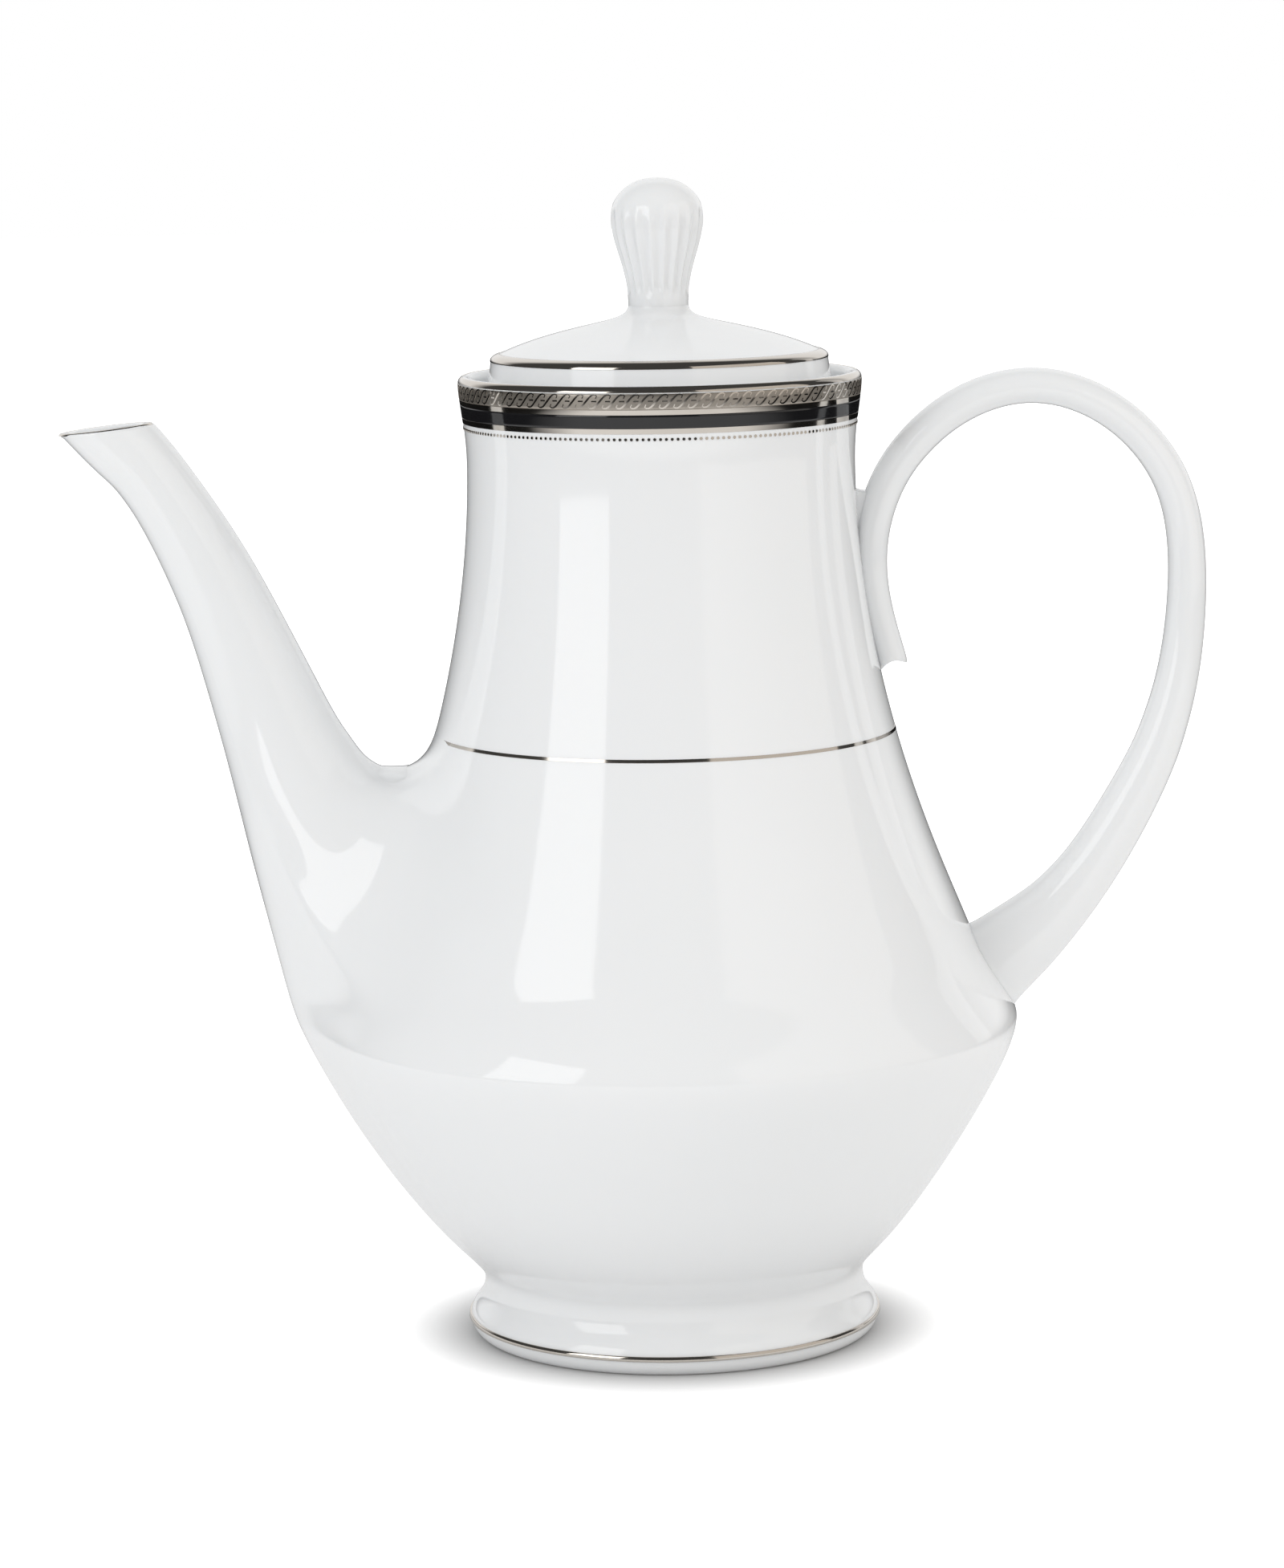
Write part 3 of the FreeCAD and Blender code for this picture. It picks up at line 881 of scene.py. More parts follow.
@dataclass
class Handle:
    """Looped handle with a tail on the neck and a swollen heel on the belly.

    Attributes:
        outline: outline of the pot that it is stuck to.
        stations: place, thickness and width along its centre line.
        steps: rows for each gap between stations.
        segments: segments round the section.
        heel: depth in the wall and spread of the loops that flare the heel.
        search: how far back and on the wall is looked for along the heel's run.
        halvings: how often that search is narrowed by half.
        scoop: depth of the hollow across the tail's end.
        beak: how far the outer side of that end hangs below it.
        dimple: inset and rise of the steps that hollow the end.
        web: lowest and highest point of the web behind the tail.
        web_size: depth and width of the web.
        web_sink: how far it runs into the wall.
        web_dip: depth of the hollow in its top.
        web_cuts: cuts across each of its sides.
    """

    outline: Outline = field(default_factory=Outline)
    stations: Sequence[Row] = (
        (49.3, 144.7, 6.8, 9.6),
        (44.4, 167.5, 7.4, 9.6),
        (51.6, 190.0, 7.8, 11.5),
        (80.3, 205.0, 7.8, 11.5),
        (107.7, 187.2, 7.8, 11.5),
        (112.5, 160.6, 8.4, 11.5),
        (106.6, 128.3, 10.2, 11.5),
        (99.1, 112.9, 11.6, 12.3),
        (85.7, 93.4, 14.0, 13.7),
        (73.6, 82.3, 19.0, 17.0),
    )
    steps: int = 4
    segments: int = 20
    heel: Shape = ((-1.6, 1.01), (-0.4, 1.05), (1.2, 1.1))
    search: Row = (-10.0, 30.0)
    halvings: int = 40
    scoop: float = 1.5
    beak: float = 0.225
    dimple: Shape = ((0.5, 0.1), (1.4, 0.8))
    web: Row = (166.0, 184.0)
    web_size: Row = (7.0, 5.0)
    web_sink: float = 1.5
    web_dip: float = 1.4
    web_cuts: int = 3

    @cached_property
    def rows(self) -> list[Row]:
        """Stations with eased rows in between."""
        return eased(self.stations, self.steps)

    @cached_property
    def line(self) -> list[Vector]:
        """Centre line, seen from the side."""
        return points([row[:2] for row in self.rows])

    def section(self, i: int, turn: float) -> Vector:
        """Find a point of the section at one row.

        Args:
            i: number of the row.
            turn: angle round the section.

        Returns:
            The point.
        """
        run = run_at(self.line, i)
        x, z, thickness, width = self.rows[i]
        side = Vector((-run.y, 0, run.x)) * (thickness / 2 * math.cos(turn))
        return Vector((x, 0, z)) + side + Vector((0, width / 2 * math.sin(turn), 0))

    def on_belly(self, point: Vector, run: Vector, depth: float) -> Vector:
        """Slide a point along the handle's run until it is at a depth in the belly.

        Args:
            point: the point.
            run: direction of the slide.
            depth: depth below the outer face; below nought it stays clear of it.

        Returns:
            The point's new place.
        """
        low, high = self.search
        for _ in range(self.halvings):
            middle = (low + high) / 2
            place = point + run * middle
            if math.hypot(place.x, place.y) > self.outline.radius(place.z) - depth:
                low = middle
            else:
                high = middle
        return point + run * low

    def bar(self, layer: Layer, i: int) -> Placer:
        """Say where a vertex goes at one row of the bar."""
        return lambda vert: self.section(i, vert[layer])

    def heel_loop(self, layer: Layer, depth: float, spread: float) -> Placer:
        """Say where a vertex goes on one loop of the flared heel.

        Args:
            layer: vertex layer with the angle round the section.
            depth: depth of the loop in the wall.
            spread: how much wider it is than the last section.

        Returns:
            The rule that places a vertex.
        """
        last = len(self.rows) - 1
        run, end = run_at(self.line, last), self.line[last]
        along, centre = Vector((run.x, 0, run.y)), Vector((end.x, 0, end.y))
        return lambda vert: self.on_belly(
            centre.lerp(self.section(last, vert[layer]), spread), along, depth)

    def build(self) -> bmesh.types.BMesh:
        """Draw the bar, its hollowed tail and its flared heel.

        Returns:
            The mesh in millimetres.
        """
        bm = bmesh.new()
        layer = bm.verts.layers.float.new("turn")
        run = run_at(self.line, 0)
        up = Vector((run.x, 0, run.y))
        ring = bmesh.ops.create_circle(bm, cap_ends=True, segments=self.segments, radius=1.0)
        for vert in ring["verts"]:
            turn = math.atan2(vert.co.y, vert.co.x)
            vert[layer] = turn
            outward = max(-math.cos(turn), 0) ** 2
            vert.co = self.section(0, turn) + up * (self.scoop * math.sin(turn) ** 2 - self.beak * outward)
        cap = list(bm.faces)
        places = [self.bar(layer, i) for i in range(1, len(self.rows) - 1)]
        places += [self.heel_loop(layer, depth, spread) for depth, spread in self.heel]
        loop = grown(bm, list(bm.edges), places)
        bmesh.ops.contextual_create(bm, geom=loop)
        for thickness, lift in self.dimple:
            bmesh.ops.inset_region(bm, faces=cap, thickness=thickness, use_even_offset=True)
            bmesh.ops.translate(bm, vec=up * lift, verts=cap[0].verts)
        self.add_web(bm)
        return bm

    def add_web(self, bm: bmesh.types.BMesh) -> None:
        """Fill the crook between the tail and the neck with a web that has a hollowed top.

        Args:
            bm: mesh of the handle.
        """
        low, high = self.web
        depth, width = self.web_size
        middle = self.outline.radius(high) - self.web_sink + depth / 2
        made = bmesh.ops.create_cube(bm, size=1.0)["verts"]
        for vert in made:
            z = low if vert.co.z < 0 else high
            vert.co = Vector((middle + depth * vert.co.x, width * vert.co.y, z))
        edges = list({edge for vert in made for edge in vert.link_edges})
        bmesh.ops.subdivide_edges(bm, edges=edges, cuts=self.web_cuts, use_grid_fill=True)
        for vert in bm.verts:
            off = vert.co.x - middle
            if abs(vert.co.z - high) < TOUCHING and abs(off) < depth / 2 and abs(vert.co.y) <= width / 2:
                vert.co.z -= self.web_dip * math.cos(off / depth * math.pi)

    def dress(self) -> list[Piece]:
        """Finish the handle."""
        return [finished(self.build(), "glazed_handle", Body.POT, [PORCELAIN], ["handle"],
                         levels=2)]


# Lid


@dataclass
class Lid:
    """Domed lid with its drum, flange, collar and steam vent.

    Attributes:
        seat: where the knob stands.
        edge: start of the dome at the rounded edge.
        edge_middle: middle of the rounded edge.
        drum_top: top of the drum.
        drum_foot: foot of the drum.
        flange: radius of the flange.
        flange_rounding: rounding of its upper and lower corner.
        seat_z: height of the step that it sits on.
        collar: outer radius of the collar.
        bore: inner radius of the collar.
        collar_z: lower end of the collar.
        collar_rounding: rounding of its outer and inner corner there.
        spring_z: height where the inside starts to arch over.
        ceiling_z: height of the inside in the middle.
        vent: distance of the vent from the middle, and its radius.
        vent_z: height between dome and ceiling at the vent.
        segments: segments round the turn.
        steps: steps along dome, edge, drum and ceiling.
    """

    seat: Row = (6.4, 223.0)
    edge: Row = (34.0, 213.3)
    edge_middle: Row = (35.56, 212.63)
    drum_top: Row = (36.0, 211.7)
    drum_foot: Row = (37.0, 205.7)
    flange: float = 39.4
    flange_rounding: Row = (0.4, 0.3)
    seat_z: float = 203.3
    collar: float = 35.4
    bore: float = 32.4
    collar_z: float = 191.8
    collar_rounding: Row = (0.8, 0.6)
    spring_z: float = 208.7
    ceiling_z: float = 217.0
    vent: Row = (20.0, 1.5)
    vent_z: float = 216.5
    segments: int = 96
    steps: tuple[int, int, int, int] = (26, 6, 6, 24)

    def edge_points(self, count: int) -> list[Vector]:
        """Draw the rounded edge, from the drum up to the dome."""
        return bowed(self.drum_top, self.edge_middle, self.edge, count)

    def profile(self) -> list[Vector]:
        """Draw the outline from the middle of the top to the middle of the ceiling.

        Returns:
            Radius and height of its points.
        """
        dome_steps, edge_steps, drum_steps, ceiling_steps = self.steps
        crest = [(0.01, 0.15), (0.1, 0.29), (0.45, 0.48), (0.82, 0.77)]
        dome = stretch(self.seat, self.edge, crest, dome_steps)
        edge = self.edge_points(edge_steps)[::-1]
        drum = stretch(self.drum_top, self.drum_foot, [(0.3, 0.4), (0.6, 0.8)], drum_steps)
        flange_z = self.drum_foot[1]
        above, below = self.flange_rounding
        outside, inside = self.collar_rounding
        turns = [(self.flange - above, flange_z), (self.flange, flange_z - above),
                 (self.flange, self.seat_z + below), (self.flange - below, self.seat_z),
                 (self.collar, self.seat_z), (self.collar, self.collar_z + outside),
                 (self.collar - outside, self.collar_z), (self.bore + inside, self.collar_z),
                 (self.bore, self.collar_z + inside)]
        vault = [(0, 0.36145), (0.3, 0.36145), (0.8, 1)]
        ceiling = stretch((self.bore, self.spring_z), (0, self.ceiling_z), vault, ceiling_steps)
        return points([(0, self.seat[1])]) + dome + edge[1:] + drum[1:] + points(turns) + ceiling

    def pierce(self, bm: bmesh.types.BMesh) -> None:
        """Open the steam vent through dome and ceiling.

        Args:
            bm: mesh of the lid.
        """
        away, radius = self.vent
        middle = Vector((0, away))
        rims = []
        for upper in (True, False):
            side = [vert for vert in bm.verts if (vert.co.z > self.vent_z) == upper]
            nearest = min(side, key=lambda vert: (vert.co.xy - middle).length)
            rim = {vert for face in nearest.link_faces for vert in face.verts} - {nearest}
            bmesh.ops.delete(bm, geom=[nearest], context="VERTS")
            for vert in rim:
                vert.co.xy = middle + (vert.co.xy - middle).normalized() * radius
            rims += [edge for edge in bm.edges if edge.verts[0] in rim and edge.verts[1] in rim]
        bmesh.ops.bridge_loops(bm, edges=rims)

    def dress(self) -> list[Piece]:
        """Spin and finish the lid.

        Returns:
            The one piece.
        """
        bm = bmesh.new()
        spun(bm, self.profile(), self.segments)
        self.pierce(bm)
        return [finished(bm, "glazed_lid", Body.LID, [PORCELAIN], ["lid"])]


@dataclass
class Knob:
    """Fluted knob on the lid.

    Attributes:
        base: foot of the knob, just inside the dome.
        widest: widest point.
        top: height of the crown.
        flutes: number of flutes.
        depth: how deep they are.
        per_flute: segments across one flute.
        openness: power that shapes a flute; below one it is wider than its ridges.
        plain: height of the smooth foot below them, and of the stretch where they begin.
        fade: where the flutes end above the widest point, and the stretch over which they die away, as
            shares of the crown's height.
        steps: steps along side and crown.
        sharp: edges that turn by more degrees than this stay crisp.
    """

    base: Row = (6.4, 222.9)
    widest: Row = (9.9, 241.7)
    top: float = 249.9
    flutes: int = 20
    depth: float = 0.55
    per_flute: int = 10
    openness: float = 0.8
    plain: float = 2.2
    fade: Row = (0.35, 0.45)
    steps: tuple[int, int] = (30, 18)
    sharp: float = 60.0

    def hollow_at(self, turn: float, z: float) -> float:
        """Work out how deep the flutes are at a place.

        Args:
            turn: angle round the knob.
            z: height.

        Returns:
            The depth.
        """
        crown = self.top - self.widest[1]
        end, stretch_out = self.fade
        above = share((self.widest[1] + end * crown - z) / (stretch_out * crown))
        below = share((z - self.base[1] - self.plain) / self.plain)
        return self.depth * (0.5 + 0.5 * math.cos(turn * self.flutes)) ** self.openness * above * below

    def dress(self) -> list[Piece]:
        """Spin the knob and press the flutes into its side.

        Returns:
            The one piece.
        """
        side_steps, crown_steps = self.steps
        side = stretch(self.base, self.widest, [(0, 0.2), (0.45, 0.55), (1, 0.82)], side_steps)
        crown = stretch(self.widest, (0, self.top), [(0, 0.4), (0.4, 0.92), (0.75, 1)], crown_steps)
        bm = bmesh.new()
        spun(bm, points([(0, self.base[1])]) + side + crown[1:], self.flutes * self.per_flute)
        for vert in bm.verts:
            hollow = self.hollow_at(math.atan2(vert.co.y, vert.co.x), vert.co.z)
            radius = math.hypot(vert.co.x, vert.co.y)
            if radius > hollow:
                vert.co.xy *= 1 - hollow / radius
        return [finished(bm, "glazed_knob", Body.LID, [PORCELAIN], ["lid_knob"],
                         sharp=self.sharp)]


# Fired-on trim


@dataclass
class Trim:
    """Metal lines and the black band, fired on over the glaze.

    Attributes:
        outline: outline of the pot.
        lid: the lid, for the line on its edge.
        film: thickness of a layer above the glaze.
        bed: how far it is bedded in the glaze.
        edge_film: share of the film's thickness that is left at its edges.
        edge_slope: share of a step along the layer over which its edges slope.
        segments: segments round a turn.
        sharp: edges that turn by more degrees than this stay crisp.
        lip_wrap: angles on the rounded lip between which it is bright.
        frieze: lower and upper edge of the satin band.
        upper_stripe: lower edge of the stripe above the black band.
        black: lower edge of the black band.
        lower_stripe: lower edge of the stripe below it.
        neck_line: lower and upper edge of the line on the neck.
        foot_line: radius and height across the line on the foot, from its lower edge up.
        lip_steps: steps across the bright lip.
        band_steps: steps across a band.
        line_steps: steps across a stripe or line.
        lid_steps: steps across the line on the lid.
    """

    outline: Outline = field(default_factory=Outline)
    lid: Lid = field(default_factory=Lid)
    film: float = 0.1
    bed: float = 0.3
    edge_film: float = 0.4
    edge_slope: float = 0.12
    segments: int = 160
    sharp: float = 50.0
    lip_wrap: Row = (7.7, 65.0)
    frieze: Row = (203.9, 207.18)
    upper_stripe: float = 202.8
    black: float = 200.0
    lower_stripe: float = 198.85
    neck_line: Row = (131.65, 132.35)
    foot_line: Shape = ((44.95, 3.4), (44.87, 3.95), (44.72, 4.5))
    lip_steps: int = 8
    band_steps: int = 6
    line_steps: int = 4
    lid_steps: int = 10

    def lay(self, name: str, line: Sequence[Vector], body: Body, slot: Slot, finish: Finish) -> Piece:
        """Lay one layer over part of an outline.

        Args:
            name: node that the layer stands for.
            line: the part of the outline that it covers.
            body: body that carries it.
            slot: material slot; not used.
            finish: its finish.

        Returns:
            The piece.
        """
        over = moved_out(line, self.film)
        edge = moved_out(line, self.film * self.edge_film)
        under = moved_out(line, -self.bed)
        over[0] = over[0].lerp(over[1], self.edge_slope)
        over[-1] = over[-1].lerp(over[-2], self.edge_slope)
        bm = bmesh.new()
        spun(bm, [edge[0], *over, edge[-1], *under[::-1]], self.segments, closed=True)
        return finished(bm, name + "_layer", body, [finish], [name], sharp=self.sharp)

    def part(self, low: float, high: float, steps: int) -> list[Vector]:
        """Pick the part of the pot's outline between two heights."""
        return between(self.outline.skin, low, high, steps)

    def dress(self) -> list[Piece]:
        """Lay every layer, from the lip down.

        Returns:
            The layers.
        """
        bright = (Body.POT, Slot.BRIGHT, BRIGHT)
        satin = (Body.POT, Slot.SATIN, SATIN)
        black = (Body.POT, Slot.BLACK, BLACK)
        band, line = self.band_steps, self.line_steps
        upper, middle, lower = self.upper_stripe, self.black, self.lower_stripe
        return [
            self.lay("rim_edge", self.outline.lip_arc(*self.lip_wrap, self.lip_steps), *bright),
            self.lay("rim_frieze", self.part(*self.frieze, band), *satin),
            self.lay("rim_stripe_upper", self.part(upper, self.frieze[0], line), *bright),
            self.lay("rim_black_band", self.part(middle, upper, band), *black),
            self.lay("rim_stripe_lower", self.part(lower, middle, line), *bright),
            self.lay("neck_line", self.part(*self.neck_line, line), *bright),
            self.lay("foot_line", points(self.foot_line), *bright),
            self.lay("lid_line", self.lid.edge_points(self.lid_steps), Body.LID, Slot.BRIGHT, BRIGHT),
        ]


@dataclass
class SpoutLine:
    """Bright line round the lip of the spout.

    Attributes:
        shell: the pot that carries the spout.
        edges: inset of the line's outer and inner edge from the lip's outer edge.
        lift: how far it stands above the lip.
        bed: how far its edges are bedded in the glaze.
        bevels: width of its outer and inner bevel.
        bevel_drop: how far the bevels fall below its middle.
        segments: segments round the lip.
        sharp: edges that turn by more degrees than this stay crisp.
    """

    shell: PotShell = field(default_factory=PotShell)
    edges: Row = (0.2, 1.5)
    lift: float = 0.05
    bed: float = 0.45
    bevels: Row = (0.15, 0.2)
    bevel_drop: float = 0.12
    segments: int = 72
    sharp: float = 60.0

    def dress(self) -> list[Piece]:
        """Sweep the line round the lip.

        Returns:
            The one piece.
        """
        outer, inner = self.edges
        outer_bevel, inner_bevel = self.bevels
        slope = self.bevel_drop - self.lift
        corners = [(outer, self.bed), (outer + outer_bevel, slope), ((outer + inner) / 2, -self.lift),
                   (inner - inner_bevel, slope), (inner, self.bed)]
        bm = bmesh.new()
        layer = bm.verts.layers.float.new("turn")
        tip = self.shell.spout[0]
        first, *rest = [self.shell.section(layer, tip, inset, drop) for inset, drop in corners]
        ring = bmesh.ops.create_circle(bm, cap_ends=False, segments=self.segments, radius=1.0)
        for vert in ring["verts"]:
            vert[layer] = math.atan2(vert.co.y, vert.co.x)
            vert.co = first(vert)
        start = list(bm.edges)
        bmesh.ops.bridge_loops(bm, edges=start + grown(bm, start, rest))
        return [finished(bm, "spout_lip_layer", Body.POT, [BRIGHT], ["spout_lip_line"],
                         sharp=self.sharp)]


@dataclass
class Frieze:
    """Scrolls on the satin band and the row of dots below the bands.

    Attributes:
        outline: outline of the pot.
        middle_z: middle height of the scrolls.
        scrolls: scrolls in the full turn.
        path: centre line of one scroll, along the band and up.
        path_steps: steps along it.
        stroke: width of the line at its middle and at its ends.
        dash: start, end and width of the dash between scrolls.
        dash_up: its height above the middle.
        lift: how far a stroke's drawn face stands off the pot's outline.
        relief: thickness of a stroke.
        dot_z: height of the dots.
        dots: dots in the full turn.
        dot: radius of a dot at its foot and at its face.
        dot_depth: its thickness, half of it in the glaze.
        dot_sides: sides of a dot.
    """

    outline: Outline = field(default_factory=Outline)
    middle_z: float = 205.65
    scrolls: int = 91
    path: Shape = ((-2.15, -0.62), (-2.62, -1.05), (-2.2, -1.5), (-1.35, -1.42), (-0.65, -0.72), (0.0, 0.0),
                   (0.65, 0.72), (1.35, 1.42), (2.2, 1.5), (2.62, 1.05), (2.15, 0.62))
    path_steps: int = 14
    stroke: Row = (0.4, 0.22)
    dash: Row = (-1.75, -0.65, 0.3)
    dash_up: float = 0.05
    lift: float = 0.13
    relief: float = 0.08
    dot_z: float = 197.75
    dots: int = 220
    dot: Row = (0.38, 0.304)
    dot_depth: float = 0.34
    dot_sides: int = 14

    def wrapped(self, spot: Vector) -> Vector:
        """Lay a flat point of the drawing round the band.

        Args:
            spot: distance along the band and up from its middle.

        Returns:
            The point.
        """
        z = self.middle_z + spot.y
        radius = self.outline.radius(z) + self.lift
        turn = spot.x / self.outline.rim[0]
        return Vector((radius * math.cos(turn), radius * math.sin(turn), z))

    def crossing(self, spot: Vector, across: Vector, side: Layer) -> Placer:
        """Say where the two ends of a stroke's edge go at one point of its line."""
        return lambda vert: self.wrapped(spot + across * vert[side])

    def lay_stroke(self, bm: bmesh.types.BMesh, side: Layer, line: Sequence[Vector],
                   widths: Sequence[float]) -> None:
        """Draw an edge along a line on the band and give it a thickness.

        Args:
            bm: mesh that gets the stroke.
            side: vertex layer that tells the two sides of the stroke apart.
            line: centre line of the stroke.
            widths: its width at each point.
        """
        places = []
        for i, (spot, width) in enumerate(zip(line, widths)):
            run = run_at(line, i)
            places.append(self.crossing(spot, Vector((-run.y, run.x)) * width / 2, side))
        older = set(bm.faces)
        ends = [bm.verts.new(), bm.verts.new()]
        for vert, way in zip(ends, (-1, 1)):
            vert[side] = way
            vert.co = places[0](vert)
        grown(bm, [bm.edges.new(ends)], places[1:])
        faces = [face for face in bm.faces if face not in older]
        bmesh.ops.recalc_face_normals(bm, faces=faces)
        bmesh.ops.solidify(bm, geom=faces, thickness=self.relief)

    def print_scrolls(self) -> Piece:
        """Draw one scroll and its dash, and repeat them round the band.

        Returns:
            The piece.
        """
        bm = bmesh.new()
        side = bm.verts.layers.float.new("side")
        count = self.path_steps
        middle, end = self.stroke
        widths = [end + (middle - end) * math.sin(math.pi * i / count) for i in range(count + 1)]
        self.lay_stroke(bm, side, clamped_spline(points(self.path), count), widths)
        start, stop, width = self.dash
        self.lay_stroke(bm, side, points([(start, self.dash_up), (stop, self.dash_up)]), [width, width])
        repeated(bm, self.scrolls)
        return finished(bm, "rim_scrolls", Body.POT, [BRIGHT])

    def print_dots(self) -> Piece:
        """Draw one dot and repeat it round the pot.

        Returns:
            The piece.
        """
        bm = bmesh.new()
        foot, face = self.dot
        place = Matrix.Translation((self.outline.radius(self.dot_z), 0, self.dot_z))
        bmesh.ops.create_cone(bm, cap_ends=True, segments=self.dot_sides, radius1=foot, radius2=face,
                              depth=self.dot_depth, matrix=place @ Matrix.Rotation(math.pi / 2, 4, "Y"))
        repeated(bm, self.dots)
        return finished(bm, "rim_dots", Body.POT, [BRIGHT])

    def dress(self) -> list[Piece]:
        """Print the scrolls and the dots."""
        return [self.print_scrolls(), self.print_dots()]


# Studio


@dataclass(frozen=True)
class Softbox:
    """One studio light.

    Attributes:
        turn: degrees round the pot from the camera, to the right.
        away: metres from the pot.
        height: height of its middle in metres.
        size: width and height in metres.
        radiance: brightness of its face.
        colour: colour of the light.
    """

    turn: float
    away: float
    height: float
    size: Row
    radiance: float
    colour: str = "#FFFFFF"

    def build(self) -> None:
        """Put the light in the scene, turned towards the pot."""
        light = bpy.data.lights.new("softbox", "AREA")
        light.shape = "RECTANGLE"
        light.size, light.size_y = self.size
        light.energy = self.radiance * math.pi * self.size[0] * self.size[1]
        light.color = linear(self.colour)[:3]
        lamp = bpy.data.objects.new("softbox", light)
        turn = math.radians(self.turn)
        lamp.location = (self.away * math.sin(turn), -self.away * math.cos(turn), self.height)
        towards = Vector((0, 0, self.height)) - lamp.location
        lamp.rotation_euler = towards.to_track_quat("-Z", "Y").to_euler()
        bpy.context.scene.collection.objects.link(lamp)


@dataclass(frozen=True)
class SweepPaper:
    """Matt white paper under the pot, made to glow pure white away from it; the glow fades out near the
    foot, which paints a ring of shade round it on top of the real cast shade.

    Attributes:
        name: name of the real material.
        lit: colour of the paper.
        painted_dark_reflection: colour painted on the paper for rays from shiny faces beyond its end, a
            painted reflection of a dark room.
        painted_shade_ring: metres from the pot's middle where the paper's glow starts to fade in, and where
            it is full; inside this the paper is a painted ring of shade as well as the real cast shade.
        bounce: share of the paper's glow that reaches the pot.
        sweep: metres from its middle over which the paper, as shiny faces mirror it, is painted dark.
        sweep_middle: middle of that paper, nearer to the camera than the pot.
    """

    name: str = "white paper sweep"
    lit: str = "#C6C6C6"
    painted_dark_reflection: str = "#181818"
    painted_shade_ring: Row = (0.043, 0.068)
    bounce: float = 0.36
    sweep: Row = (0.5, 0.75)
    sweep_middle: Row = (0.0, -0.3, 0.0)

    def material(self) -> bpy.types.Material:
        """Build the material.

        Returns:
            The material.
        """
        material = bpy.data.materials.new(self.name)
        material.use_nodes = True
        tree = material.node_tree
        tree.nodes.clear()
        place = add_node(tree, "TexCoord").outputs["Object"]
        away = add_node(tree, "VectorMath", {0: place}, operation="LENGTH").outputs["Value"]
        # Painted shade: the paper's glow is faded out round the pot, so the paper is darker there than
        # beyond, even where the pot blocks no light.
        fade = add_node(tree, "MapRange", {"Value": away, "From Min": self.painted_shade_ring[0],
                                           "From Max": self.painted_shade_ring[1]})
        path = add_node(tree, "LightPath")
        off = add_node(tree, "VectorMath", {0: place, 1: self.sweep_middle}, operation="DISTANCE")
        near = add_node(tree, "MapRange", {"Value": off.outputs["Value"], "From Min": self.sweep[0],
                                           "From Max": self.sweep[1], "To Min": 1.0, "To Max": 0.0})
        # Painted reflection: rays from shiny faces see the paper turn dark and stop glowing away from its
        # middle, standing in for a dark room.
        kept = add_node(tree, "Mix", {"Factor": path.outputs["Is Glossy Ray"], 2: 1.0,
                                      3: near.outputs["Result"]})
        part = add_node(tree, "MapRange", {"Value": path.outputs["Is Camera Ray"], "To Min": self.bounce})
        seen = add_node(tree, "Math", {0: fade.outputs["Result"], 1: part.outputs["Result"]},
                        operation="MULTIPLY")
        glow = add_node(tree, "Math", {0: seen.outputs[0], 1: kept.outputs[0]}, operation="MULTIPLY")
        # Painted reflection: the dark room colour is mixed into the paper where shiny faces mirror it.
        tone = add_node(tree, "Mix", {"Factor": kept.outputs[0], 6: linear(self.painted_dark_reflection),
                                      7: linear(self.lit)}, data_type="RGBA")
        shader = add_node(tree, "BsdfPrincipled", {
            "Base Color": tone.outputs[2], "Roughness": 0.9, "Specular IOR Level": 0.0,
            "Emission Color": linear("#FFFFFF"), "Emission Strength": glow.outputs[0]})
        add_node(tree, "OutputMaterial", {"Surface": shader.outputs["BSDF"]})
        return material


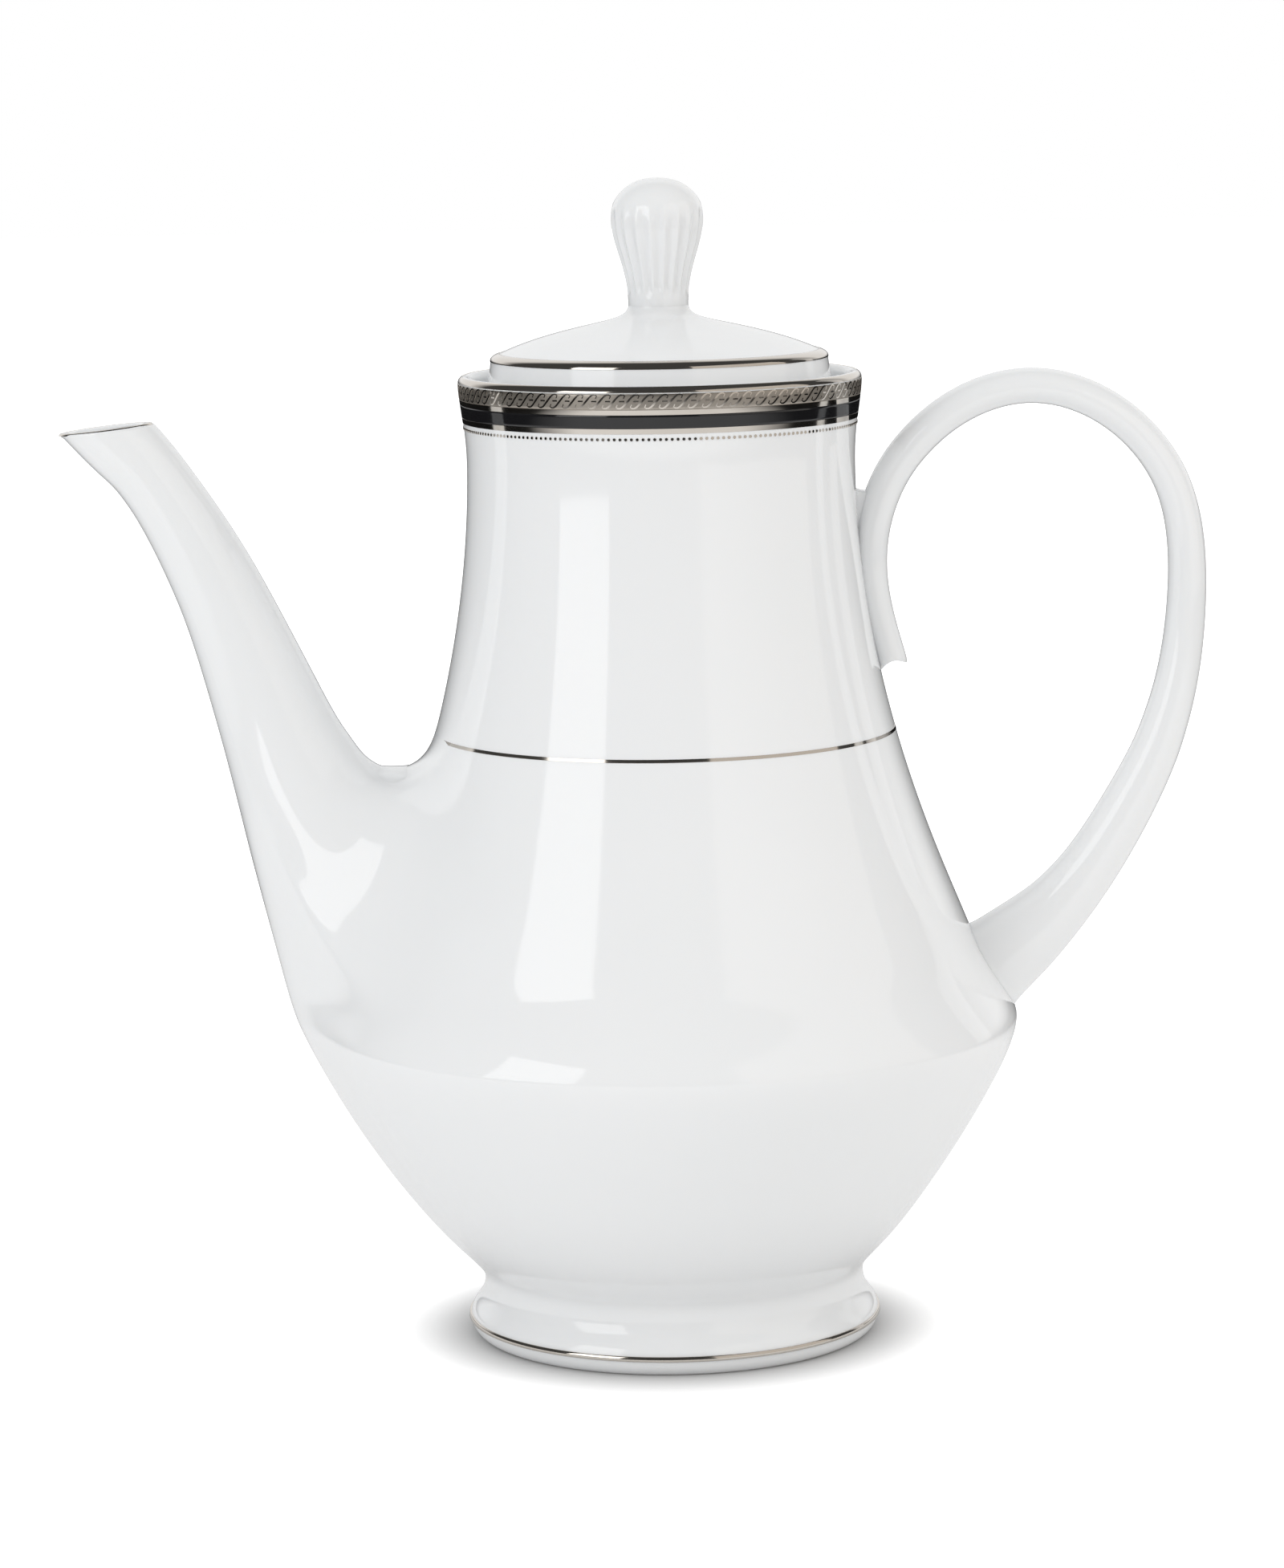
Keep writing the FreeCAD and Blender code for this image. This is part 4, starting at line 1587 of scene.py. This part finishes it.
@dataclass
class Studio:
    """White sweep, soft lights and the camera of the photograph.

    Attributes:
        lights: the softboxes.
        paper: finish of the floor.
        floor: left, near, right and far edge of the floor in metres.
        fill: brightness of the soft light from all round.
        top: brightness of the soft light from overhead.
        dim: brightness of the room that shiny faces mirror.
        backdrop: brightness of the paper behind the pot that they mirror.
        backdrop_z: upward part of the mirrored direction over which that paper starts.
        backdrop_y: backward part of it over which the paper starts.
        eye: place of the camera in millimetres.
        pitch: degrees that it looks down.
        roll: degrees that it leans.
        pan: degrees that it looks to the side.
        lens: focal length in millimetres.
        film: length of the film's long side in millimetres.
    """

    lights: Sequence[Softbox] = (
        Softbox(-45.5, 1.1, 0.53, (0.60, 0.80), 2.1),
        Softbox(58.0, 1.2, 0.55, (1.75, 1.5), 0.63, "#FFF8F0"),
        Softbox(122.0, 1.3, 0.5, (0.22, 1.2), 0.5),
    )
    paper: SweepPaper = SweepPaper()
    floor: Row = (-3.0, -1.0, 3.0, 6.0)
    fill: float = 0.5
    top: float = 0.95
    dim: float = 0.06
    backdrop: float = 0.95
    backdrop_z: Row = (-0.02, 0.1)
    backdrop_y: Row = (0.5, 0.75)
    eye: Row = (0.0, -1078.06, 282.26)
    pitch: float = 8.5624
    roll: float = -0.9841
    pan: float = -0.2780
    lens: float = 115.9
    film: float = 36.0

    def build_floor(self) -> None:
        """Lay the white floor."""
        left, near, right, far = self.floor
        bm = bmesh.new()
        bmesh.ops.create_grid(bm, x_segments=1, y_segments=1, size=0.5)
        bmesh.ops.scale(bm, vec=(right - left, far - near, 1), verts=bm.verts)
        bmesh.ops.translate(bm, vec=((left + right) / 2, (near + far) / 2, 0), verts=bm.verts)
        mesh = bpy.data.meshes.new("floor")
        bm.to_mesh(mesh)
        bm.free()
        mesh.materials.append(self.paper.material())
        floor = bpy.data.objects.new("floor", mesh)
        bpy.context.scene.collection.objects.link(floor)

    def build_room(self) -> None:
        """Fill the room with soft light, dark where a shiny face mirrors it and white behind the pot."""
        world = bpy.data.worlds.new("studio")
        world.use_nodes = True
        tree = world.node_tree
        tree.nodes.clear()
        path = add_node(tree, "LightPath")
        way = add_node(tree, "SeparateXYZ", {0: add_node(tree, "TexCoord").outputs["Generated"]})
        high = add_node(tree, "MapRange", {"Value": way.outputs["Z"], "From Min": self.backdrop_z[0],
                                           "From Max": self.backdrop_z[1]})
        behind = add_node(tree, "MapRange", {"Value": way.outputs["Y"], "From Min": self.backdrop_y[0],
                                             "From Max": self.backdrop_y[1]})
        paper = add_node(tree, "Math", {0: high.outputs["Result"], 1: behind.outputs["Result"]},
                         operation="MULTIPLY")
        mirrored = add_node(tree, "MapRange", {"Value": paper.outputs[0], "To Min": self.dim,
                                               "To Max": self.backdrop})
        soft = add_node(tree, "MapRange", {"Value": way.outputs["Z"], "To Min": self.fill,
                                           "To Max": self.top})
        room = add_node(tree, "Mix", {"Factor": path.outputs["Is Glossy Ray"], 2: soft.outputs["Result"],
                                      3: mirrored.outputs["Result"]})
        level = add_node(tree, "Mix", {"Factor": path.outputs["Is Camera Ray"], 2: room.outputs[0], 3: 1.0})
        sky = add_node(tree, "Background", {"Color": linear("#FFFFFF"), "Strength": level.outputs[0]})
        add_node(tree, "OutputWorld", {"Surface": sky.outputs["Background"]})
        bpy.context.scene.world = world
        bpy.context.scene.view_settings.view_transform = "Standard"

    def build_camera(self) -> None:
        """Set the camera where the photograph was taken from."""
        pitch, roll, pan = (math.radians(angle) for angle in (self.pitch, self.roll, self.pan))
        ahead = Vector((math.sin(pan) * math.cos(pitch), math.cos(pan) * math.cos(pitch), -math.sin(pitch)))
        level = Vector((math.cos(pan), -math.sin(pan), 0))
        above = level.cross(ahead)
        right = level * math.cos(roll) + above * math.sin(roll)
        up = above * math.cos(roll) - level * math.sin(roll)
        turn = Matrix((right, up, -ahead)).transposed().to_4x4()
        film = bpy.data.cameras.new("camera")
        film.lens = self.lens
        film.sensor_width = self.film
        film.sensor_fit = "AUTO"
        camera = bpy.data.objects.new("camera", film)
        camera.matrix_world = Matrix.Translation(Vector(self.eye) * MM) @ turn
        bpy.context.scene.collection.objects.link(camera)
        bpy.context.scene.camera = camera

    def build(self) -> None:
        """Set up floor, room, lights and camera."""
        self.build_floor()
        self.build_room()
        for light in self.lights:
            light.build()
        self.build_camera()


def main() -> None:
    """Build the sub-assemblies in order, report each piece and set up the studio."""
    LOG.info("frame with %d nodes", len(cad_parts))
    order: list[SubAssembly] = [PotShell(), Handle(), Lid(), Knob(), Trim(), SpoutLine(), Frieze()]
    for assembly in order:
        for piece in assembly.dress():
            LOG.info("%s: %d faces before smoothing", piece.name, len(piece.data.polygons))
    Studio().build()


if __name__ == "__main__":
    main()
